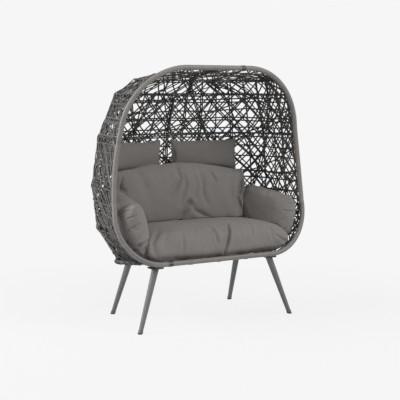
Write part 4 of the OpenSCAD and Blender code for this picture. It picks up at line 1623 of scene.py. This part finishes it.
@dataclass(frozen=True)
class Cushion:
    """A loose cushion: a closed pillow, crowned, with its sides drawn in between the corners.

    Its cover is filled under air pressure, then wrinkled, set in place, pressed and creased.

    Attributes:
        name: the piece's name.
        node: the CAD pillow that it stands for.
        width: size along its own X before it is turned. All lengths are in metres.
        height: size along its own Y.
        thickness: size along its own Z.
        turns: axes and degrees of its turns, in order.
        shift: where its middle lies from the middle of the node's box.
        full: how far it fills its corners, from 0 for an oval to 1 for a rectangle.
        pinch: how far its sides are drawn in between the corners.
        bow: how far its left and right ends lie below its middle.
        arch: how far the middle of its upper edge rises.
        flat: how flat its underside is, from 0 to 1.
        crown: power of its swell, smaller where the top is flatter and the sides are steeper.
        fill: share of its space that the filling takes; not used.
        slack: how much smaller it starts on every side.
        cap: how far a point may move while it fills.
        voxel: grid of the even mesh that fills.
        pressure_frames: how long it fills.
        rumple: height of its unevenness.
        rumple_scales: how dense the broad and the fine unevenness are, per metre.
        pucker: height of the gathers beside the seam.
        pucker_pitch: distance between gathers.
        seam_depth: how deep the seam is drawn in.
        seam_width: half width of the seam.
        gather_share: how far the gathers reach from the seam, as a share of half the thickness.
        clear: gap to the covers that press it.
        spare: how far it may pass the node's box along X, Y and Z.
        seed: number that its unevenness starts from.
        mirrored: whether it is made as a mirror image.
        pressed_by: covers made before it that it gives way to.
        creases: grooves pressed into it.
        columns: squares of the start grid along X.
        rows: squares of the start grid along Y.
    """

    name: str
    node: str
    width: float
    height: float
    thickness: float
    turns: tuple[tuple[str, float], ...] = ()
    shift: tuple[float, float, float] = (0.0, 0.0, 0.0)
    full: float = 0.6
    pinch: float = 0.008
    bow: float = 0.0
    arch: float = 0.0
    flat: float = 0.0
    crown: float = 0.45
    fill: float = 0.8
    slack: float = 0.006
    cap: float = 0.014
    voxel: float = 0.0085
    pressure_frames: int = 20
    rumple: float = 0.004
    rumple_scales: tuple[float, float] = (8.0, 26.0)
    pucker: float = 0.0025
    pucker_pitch: float = 0.042
    seam_depth: float = 0.0018
    seam_width: float = 0.004
    gather_share: float = 0.55
    clear: float = 0.0025
    spare: tuple[float, float, float] = (0.03, 0.03, 0.02)
    seed: int = 1
    mirrored: bool = False
    pressed_by: tuple[str, ...] = ()
    creases: tuple[Crease, ...] = ()
    columns: int = 60
    rows: int = 40

    def _pillow(self, slack: float) -> bpy.types.Mesh:
        """The pillow's two faces, drawn on a grid and its copy and sewn together at the border.

        Args:
            slack: how much smaller it is on every side, as room to fill.

        Returns:
            The mesh.
        """
        bm = bmesh.new()
        bmesh.ops.create_grid(bm, x_segments=self.columns, y_segments=self.rows, size=1.0)
        grown = bmesh.ops.duplicate(bm, geom=bm.verts[:] + bm.edges[:] + bm.faces[:])["geom"]
        rear = {g for g in grown if isinstance(g, bmesh.types.BMVert)}
        bmesh.ops.reverse_faces(bm, faces=[g for g in grown if isinstance(g, bmesh.types.BMFace)])
        w, h, t = (size / 2 - slack for size in (self.width, self.height, self.thickness))
        for v in bm.verts:
            u, k = math.sin(math.pi / 2 * v.co.x), math.sin(math.pi / 2 * v.co.y)
            swell = max(0.0, (1 - u**4) * (1 - k**4)) ** self.crown
            x = w * u * math.sqrt(1 - k * k / 2 * (1 - self.full)) - self.pinch * u**3 * (1 - k * k)
            y = h * k * math.sqrt(1 - u * u / 2 * (1 - self.full)) - self.pinch * k**3 * (1 - u * u)
            y += self.arch * (1 - u * u) * (k + 1) / 2
            z = -t * swell ** (1 - 0.7 * self.flat) if v in rear else t * swell
            v.co = (x, y, z - self.bow * u * u)
        bmesh.ops.remove_doubles(bm, verts=bm.verts[:], dist=1e-5)
        bmesh.ops.recalc_face_normals(bm, faces=bm.faces[:])
        mesh = bpy.data.meshes.new(self.name)
        bm.to_mesh(mesh)
        bm.free()
        return mesh

    def _inflated(self, piece: bpy.types.Object) -> None:
        """Remeshes the cover evenly and lets it fill with air pressure, up to the cap.

        Args:
            piece: the cover.
        """
        remesh = piece.modifiers.new("even", "REMESH")
        remesh.mode = "VOXEL"
        remesh.voxel_size = self.voxel
        apply_modifiers(piece)
        start = coordinates(piece.data)
        cloth = piece.modifiers.new("cover", "CLOTH")
        for key, value in COVER_CLOTH.items():
            setattr(cloth.settings, key, value)
        cloth.settings.effector_weights.gravity = 0.0
        cloth.collision_settings.use_collision = False
        for frame_number in range(1, self.pressure_frames + 1):
            bpy.context.scene.frame_set(frame_number)
        apply_modifiers(piece)
        bpy.context.scene.frame_set(1)
        move = coordinates(piece.data) - start
        length = np.linalg.norm(move, axis=1, keepdims=True)
        move *= np.minimum(1.0, self.cap / np.maximum(length, 1e-9))
        filled = start + move
        for k in range(3):
            filled[:, k] *= np.ptp(start[:, k]) / np.ptp(filled[:, k])
        move_to(piece.data, filled)

    def _sewn(self, mesh: bpy.types.Mesh) -> None:
        """Draws the seam in, gathers the cover along it and rumples the rest.

        Args:
            mesh: the cover's mesh, before it is set in place.
        """
        co, out = coordinates(mesh), vertex_normals(mesh)
        middle = co[:, 2] + self.bow * (2 * co[:, 0] / self.width) ** 2
        rim_side = smooth_step((0.75 - np.abs(out[:, 2])) / 0.3)
        seam = np.exp(-((middle / self.seam_width) ** 2)) * rim_side
        away = np.abs(middle) / (self.thickness / 2)
        gather = np.exp(-((away / self.gather_share) ** 2)) * rim_side
        run = np.where(np.abs(out[:, 0]) > np.abs(out[:, 1]), co[:, 1], co[:, 0])
        offset = Vector((3.7, 1.9, 5.3)) * self.seed
        slow_scale, fine_scale = self.rumple_scales
        slow = np.array([noise.noise(Vector(q) * slow_scale + offset) for q in co])
        fine = np.array([noise.noise(Vector(q) * fine_scale - offset) for q in co])
        folds = np.sin(2 * math.pi * run / self.pucker_pitch + 5 * slow + 2 * np.sign(middle))
        rise = self.rumple * (slow + 0.3 * fine) - self.seam_depth * seam
        rise += self.pucker * gather * (0.5 + slow) * folds
        move_to(mesh, co + out * rise[:, None])

    def _folded(self, mesh: bpy.types.Mesh) -> None:
        """Presses the creases into the cover.

        Args:
            mesh: the cover's mesh, in place.
        """
        co, out = coordinates(mesh), vertex_normals(mesh)
        sink = sum((crease.depth_at(co, out) for crease in self.creases), np.zeros(len(co)))
        move_to(mesh, co - out * sink[:, None])

    def _pressed(self, mesh: bpy.types.Mesh, nest: Nest) -> None:
        """Flattens the cover where it lies against the shell, the rim and cushions made before.

        Args:
            mesh: the cover's mesh, in place.
            nest: the hollow that it lies in.
        """
        co = nest.held(coordinates(mesh))
        for other in self.pressed_by:
            neighbour = bpy.data.objects[other]
            tree = bvhtree.BVHTree.FromObject(neighbour, bpy.context.evaluated_depsgraph_get())
            low, high = np.array(neighbour.bound_box[0]), np.array(neighbour.bound_box[6])
            near = ((co > low - self.clear) & (co < high + self.clear)).all(axis=1)
            for i in np.nonzero(near)[0]:
                place, outward, _, _ = tree.find_nearest(Vector(co[i]))
                if (Vector(co[i]) - place) @ outward < self.clear:
                    co[i] = place + outward * self.clear
        low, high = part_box(self.node)
        spare = np.array(self.spare)
        move_to(mesh, np.clip(co, np.array(low) - spare, np.array(high) + spare))

    def _placed(self, mesh: bpy.types.Mesh) -> None:
        """Turns the cover and sets the middle of its box on that of its node.

        Args:
            mesh: the cover's mesh.
        """
        turned = Matrix.Identity(4)
        for axis, degrees in self.turns:
            turned = Matrix.Rotation(math.radians(degrees), 4, axis) @ turned
        if self.mirrored:
            turned = Matrix.Scale(-1, 4, (1, 0, 0)) @ turned
            mesh.flip_normals()
        plain = self._pillow(0.0)
        plain.transform(turned)
        co = coordinates(plain)
        bpy.data.meshes.remove(plain)
        low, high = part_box(self.node)
        shift = (low + high) / 2 - Vector((co.min(axis=0) + co.max(axis=0)) / 2) + Vector(self.shift)
        mesh.transform(Matrix.Translation(shift) @ turned)

    def build(self, nest: Nest) -> None:
        """Args:
            nest: the hollow that it lies in.
        """
        piece = bpy.data.objects.new(self.name, self._pillow(self.slack))
        bpy.context.scene.collection.objects.link(piece)
        self._inflated(piece)
        finer = piece.modifiers.new("finer", "SUBSURF")
        finer.levels = finer.render_levels = 1
        apply_modifiers(piece)
        mesh = piece.data
        self._sewn(mesh)
        local = coordinates(mesh)
        cloth = mesh.attributes.new("cloth", "FLOAT_VECTOR", "POINT")
        cloth.data.foreach_set("vector", local.reshape(-1).astype(np.float32))
        self._placed(mesh)
        self._pressed(mesh, nest)
        self._folded(mesh)
        mesh.shade_smooth()
        finish_piece(piece, Slot.FABRIC, self.node)


def creases_at(y: float, *rows: tuple) -> tuple[Crease, ...]:
    """Creases at one depth.

    Args:
        y: the depth.
        rows: for each crease its points' X and Z, then its depth, width and shoulder as far as given.

    Returns:
        The creases.
    """
    return tuple(Crease(tuple((x, y, z) for x, z in points), *sizes) for points, *sizes in rows)


SEAT_CREASES = creases_at(
    -0.3,
    (((0.067, 0.582), (0.078, 0.534), (0.068, 0.476), (0.044, 0.410)), 0.020, 0.0065),
    (((-0.244, 0.552), (-0.230, 0.493), (-0.237, 0.430)), 0.006, 0.008),
    (((-0.056, 0.579), (-0.015, 0.529), (-0.001, 0.469)), 0.008, 0.007),
    (((-0.090, 0.593), (-0.036, 0.542)), 0.005, 0.007),
    (((0.208, 0.578), (0.237, 0.546), (0.237, 0.499)), 0.007, 0.007),
    (((0.375, 0.531), (0.383, 0.475)), 0.005, 0.008),
    (((0.412, 0.491), (0.472, 0.456), (0.517, 0.447)), 0.009, 0.007),
    (((0.440, 0.455), (0.505, 0.435)), 0.007, 0.006),
    (((-0.399, 0.575), (-0.431, 0.509), (-0.412, 0.434)), 0.010, 0.012),
)
BACK_CREASES = creases_at(
    0.06,
    (((0.020, 0.678), (-0.005, 0.632), (-0.062, 0.554)), 0.024, 0.015, 0.45),
    (((0.020, 0.672), (0.070, 0.618), (0.160, 0.570)), 0.012, 0.014, 0.3),
    (((-0.080, 0.902), (-0.045, 0.828), (-0.076, 0.781), (-0.125, 0.715)), 0.012, 0.014),
    (((-0.020, 0.857), (-0.006, 0.790), (-0.027, 0.723), (-0.050, 0.665)), 0.009, 0.011),
    (((0.137, 0.879), (0.180, 0.843), (0.205, 0.800)), 0.010, 0.010),
    (((0.086, 0.865), (0.115, 0.796), (0.115, 0.734), (0.145, 0.664)), 0.010, 0.013),
    (((0.060, 0.850), (0.075, 0.770), (0.060, 0.700)), 0.006, 0.012),
    (((-0.440, 0.869), (-0.447, 0.811), (-0.461, 0.764)), 0.009, 0.009),
    (((0.327, 0.824), (0.321, 0.736), (0.337, 0.628)), 0.008, 0.018),
    (((0.425, 0.800), (0.405, 0.730), (0.385, 0.600)), 0.034, 0.026, 0.0),
    (((-0.330, 0.870), (-0.280, 0.780), (-0.260, 0.690)), 0.006, 0.022),
)
LEFT_CREASES = (
    Crease(((-0.510, -0.10, 0.665), (-0.462, -0.126, 0.684)), 0.006, 0.0045),
    Crease(((-0.490, -0.12, 0.628), (-0.442, -0.142, 0.653)), 0.007, 0.005),
    Crease(((-0.492, -0.124, 0.563), (-0.428, -0.157, 0.608)), 0.008, 0.005),
    Crease(((-0.463, -0.15, 0.470), (-0.427, -0.173, 0.491), (-0.394, -0.19, 0.509)), 0.014, 0.007),
    Crease(((-0.405, -0.186, 0.493), (-0.423, -0.181, 0.449)), 0.010, 0.006),
    Crease(((-0.482, -0.143, 0.463), (-0.449, -0.164, 0.456)), 0.008, 0.006),
    Crease(((-0.404, -0.191, 0.468), (-0.416, -0.191, 0.403)), 0.010, 0.006),
)
RIGHT_CREASES = (
    Crease(((0.600, -0.10, 0.674), (0.651, -0.129, 0.680)), 0.006, 0.0045),
    Crease(((0.615, -0.114, 0.651), (0.657, -0.136, 0.655)), 0.006, 0.0045),
    Crease(((0.590, -0.102, 0.608), (0.654, -0.141, 0.605)), 0.007, 0.005),
    Crease(((0.604, -0.116, 0.567), (0.653, -0.145, 0.574)), 0.004, 0.005),
    Crease(((0.560, -0.10, 0.480), (0.600, -0.12, 0.500)), 0.006, 0.006),
)
ARM_TURNS = (("X", 75), ("Z", -90), ("X", 10), ("Z", 8))
ARM = {"pinch": 0.006, "columns": 36, "rows": 26, "pucker": 0.0015, "seam_depth": 0.0}
HEADREST = {
    "thickness": 0.080, "full": 0.97, "pinch": 0.001, "bow": -0.008, "crown": 0.36, "columns": 36, "rows": 20,
    "pucker": 0.001, "pressed_by": ("back_cover",),
}
CUSHIONS = (
    Cushion(
        "arm_cover_left", "arm_cushion_left", 0.490, 0.375, 0.170, turns=(*ARM_TURNS, ("Z", -4)),
        shift=(0.034, -0.022, -0.066), full=0.65, spare=(0.06, 0.05, 0.10), seed=5, mirrored=True,
        creases=LEFT_CREASES, **ARM,
    ),
    Cushion(
        "seat_cover", "seat_cushion", 0.985, 0.476, 0.212, shift=(0.016, 0.0, 0.0), full=0.85, pinch=0.004,
        flat=0.6, crown=0.34, rumple=0.006, pucker=0.0008, seam_depth=0.0, spare=(0.015, 0.01, 0.007), seed=2,
        pressed_by=("arm_cover_left",), creases=SEAT_CREASES,
    ),
    Cushion(
        "arm_cover_right", "arm_cushion_right", 0.476, 0.338, 0.158, turns=(*ARM_TURNS, ("Z", 7)),
        shift=(-0.034, 0.0, -0.066), full=0.28, spare=(0.04, 0.05, 0.10), seed=4,
        pressed_by=("seat_cover",), creases=RIGHT_CREASES, **ARM,
    ),
    Cushion(
        "back_cover", "back_cushion", 0.955, 0.376, 0.155, turns=(("X", 82), ("Y", 1.5)),
        shift=(-0.004, 0.0, -0.018), full=0.74, bow=-0.075, arch=0.052, rumple=0.006, pucker=0.0012,
        seam_depth=0.0, seed=3, pressed_by=("seat_cover", "arm_cover_left", "arm_cover_right"),
        creases=BACK_CREASES,
    ),
    Cushion(
        "headrest_cover_right", "headrest_right", 0.463, 0.214, turns=(("X", 90), ("Z", -9)),
        shift=(0.0, 0.0, 0.014), seed=6, **HEADREST,
    ),
    Cushion(
        "headrest_cover_left", "headrest_left", 0.475, 0.214, turns=(("X", 90), ("Z", 12)),
        shift=(-0.004, 0.0, 0.014), seed=7, **HEADREST,
    ),
)


# Parts kept from the frame


def dress_kept_parts() -> None:
    """Gives the frame's own finish to every part that nothing replaces."""
    slots = {s["node"]: Slot(s["material_slot"]) for s in frame["record"]["subparts"]}
    for name, part in frame["nodes"].items():
        if part.hide_render:
            continue
        part.data.materials.clear()
        finish = CAP_FINISH if name == "foot_caps" else FINISHES[slots[name]]
        part.data.materials.append(finish.material())
        LOG.info("%s: kept, %s", name, slots[name].value)


# Camera, floor and light


@dataclass(frozen=True)
class PhotoCamera:
    """The photograph's point of view."""

    azimuth: float = -31.279
    elevation: float = 6.4997
    distance: float = 6.007
    roll: float = 0.196
    target: tuple[float, float, float] = (0.0, -0.0949, 0.7066)
    focal_pixels: float = 1007.2
    frame_pixels: float = 400.0
    sensor: float = 36.0

    def build(self) -> None:
        """Makes the camera and gives it to the scene."""
        a, e = math.radians(self.azimuth), math.radians(self.elevation)
        back = Vector((math.sin(a) * math.cos(e), -math.cos(a) * math.cos(e), math.sin(e)))
        data = bpy.data.cameras.new("photo_camera")
        data.sensor_width = self.sensor
        data.lens = self.focal_pixels / self.frame_pixels * self.sensor
        camera = bpy.data.objects.new("photo_camera", data)
        turn = back.to_track_quat("Z", "Y").to_matrix().to_4x4()
        turn = turn @ Matrix.Rotation(math.radians(self.roll), 4, "Z")
        camera.matrix_world = Matrix.Translation(Vector(self.target) + back * self.distance) @ turn
        bpy.context.scene.collection.objects.link(camera)
        bpy.context.scene.camera = camera


@dataclass(frozen=True)
class Studio:
    """A pale floor without edges and plain soft light."""

    white: float = 0.922
    floor_r: float = 14.0
    floor_grey: float = 0.8
    shadow_share: float = 0.09
    shadow_fade: tuple[float, float] = (0.9, 2.4)
    ambient: float = 0.16
    lamps: tuple[tuple[str, float, tuple[float, float, float], float], ...] = (
        ("front_light", 172.0, (2.2, -4.1, 3.9), 2.6),
        ("top_light", 42.0, (0.4, -1.7, 5.6), 2.0),
        ("side_light", 330.0, (-4.8, 1.4, 3.4), 3.0),
        ("fill_light", 16.0, (-3.4, -3.6, 1.6), 3.0),
    )
    aim: tuple[float, float, float] = (0.0, 0.0, 0.7)

    def _seen(self, tree: bpy.types.NodeTree) -> bpy.types.NodeSocket:
        """1 for rays that show the background, as seen, mirrored or through glass.

        Args:
            tree: the tree that gets the nodes.

        Returns:
            The value socket.
        """
        path = new_node(tree, "LightPath")
        both = math_node(tree, "MAXIMUM", path.outputs["Is Camera Ray"], path.outputs["Is Glossy Ray"])
        return math_node(tree, "MAXIMUM", both, path.outputs["Is Transmission Ray"])

    def _world(self) -> None:
        """White where it is seen and an even light for everything else."""
        world = bpy.data.worlds.new("studio")
        bpy.context.scene.world = world
        world.use_nodes = True
        tree = world.node_tree
        shown = tree.nodes["Background"]
        feed(tree, shown.inputs["Color"], (self.white, self.white, self.white, 1.0))
        feed(tree, shown.inputs["Strength"], 1.0)
        lit = new_node(tree, "Background", {"Color": (1.0, 1.0, 1.0, 1.0), "Strength": self.ambient})
        mix = new_node(tree, "MixShader", {0: self._seen(tree), 1: lit.outputs[0], 2: shown.outputs[0]})
        tree.links.new(mix.outputs[0], tree.nodes["World Output"].inputs["Surface"])

    def _floor(self) -> None:
        """A disc that takes a faint shadow and melts into the background."""
        bm = bmesh.new()
        bmesh.ops.create_circle(bm, cap_ends=True, radius=self.floor_r, segments=96)
        mesh = bpy.data.meshes.new("floor")
        bm.to_mesh(mesh)
        bm.free()
        floor = bpy.data.objects.new("floor", mesh)
        bpy.context.scene.collection.objects.link(floor)
        material = bpy.data.materials.new("pale_floor")
        material.use_nodes = True
        tree = material.node_tree
        tree.nodes.remove(tree.nodes["Principled BSDF"])
        grey, white = ((tone, tone, tone, 1.0) for tone in (self.floor_grey, self.white))
        diffuse = new_node(tree, "BsdfDiffuse", {"Color": grey})
        glow = new_node(tree, "Emission", {"Color": white})
        place = new_node(tree, "TexCoord").outputs["Object"]
        apart = new_node(tree, "VectorMath", {0: place}, operation="LENGTH").outputs["Value"]
        inputs = {
            "Value": apart,
            "From Min": self.shadow_fade[0],
            "From Max": self.shadow_fade[1],
            "To Min": 1 - self.shadow_share,
            "To Max": 1.0,
        }
        fade = new_node(tree, "MapRange", inputs, interpolation_type="SMOOTHSTEP").outputs["Result"]
        share = math_node(tree, "MULTIPLY", fade, self._seen(tree))
        mix = new_node(tree, "MixShader", {0: share, 1: diffuse.outputs[0], 2: glow.outputs[0]})
        tree.links.new(mix.outputs[0], tree.nodes["Material Output"].inputs["Surface"])
        mesh.materials.append(material)

    def _lamp(self, name: str, power: float, place: tuple[float, float, float], size: float) -> None:
        """Makes a square soft lamp that faces the chair.

        Args:
            name: its name.
            power: its power in watts.
            place: where it stands.
            size: its side in metres.
        """
        data = bpy.data.lights.new(name, "AREA")
        data.energy = power
        data.size = size
        lamp = bpy.data.objects.new(name, data)
        turn = (Vector(place) - Vector(self.aim)).to_track_quat("Z", "Y").to_matrix().to_4x4()
        lamp.matrix_world = Matrix.Translation(Vector(place)) @ turn
        bpy.context.scene.collection.objects.link(lamp)

    def build(self) -> None:
        """Makes the world, the floor and the lamps."""
        bpy.context.scene.view_settings.view_transform = "Standard"
        self._world()
        self._floor()
        for name, power, place, size in self.lamps:
            self._lamp(name, power, place, size)


def main() -> None:
    """Builds the chair's pieces and the studio in order."""
    logging.basicConfig(level=logging.INFO, format="%(message)s")
    PhotoCamera().build()
    rim_line = RimLine(min(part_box("rim_lower")[0].y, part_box("rim_upper")[0].y))
    ring = BaseRing(rim_line.front_y)
    shell = Shell(rim_line, ring)
    LOG.info("shell: half width %.3f, levels %s", shell.half_a, np.round(shell.b, 3))
    Rim(rim_line).build()
    Base(ring, shell.plan).build()
    Rods(shell).build(ring)
    Weave(shell).build()
    FloorNet(ring, shell.plan).build()
    nest = Nest(shell)
    for cushion in CUSHIONS:
        cushion.build(nest)
    dress_kept_parts()
    Studio().build()


if __name__ == "__main__":
    main()
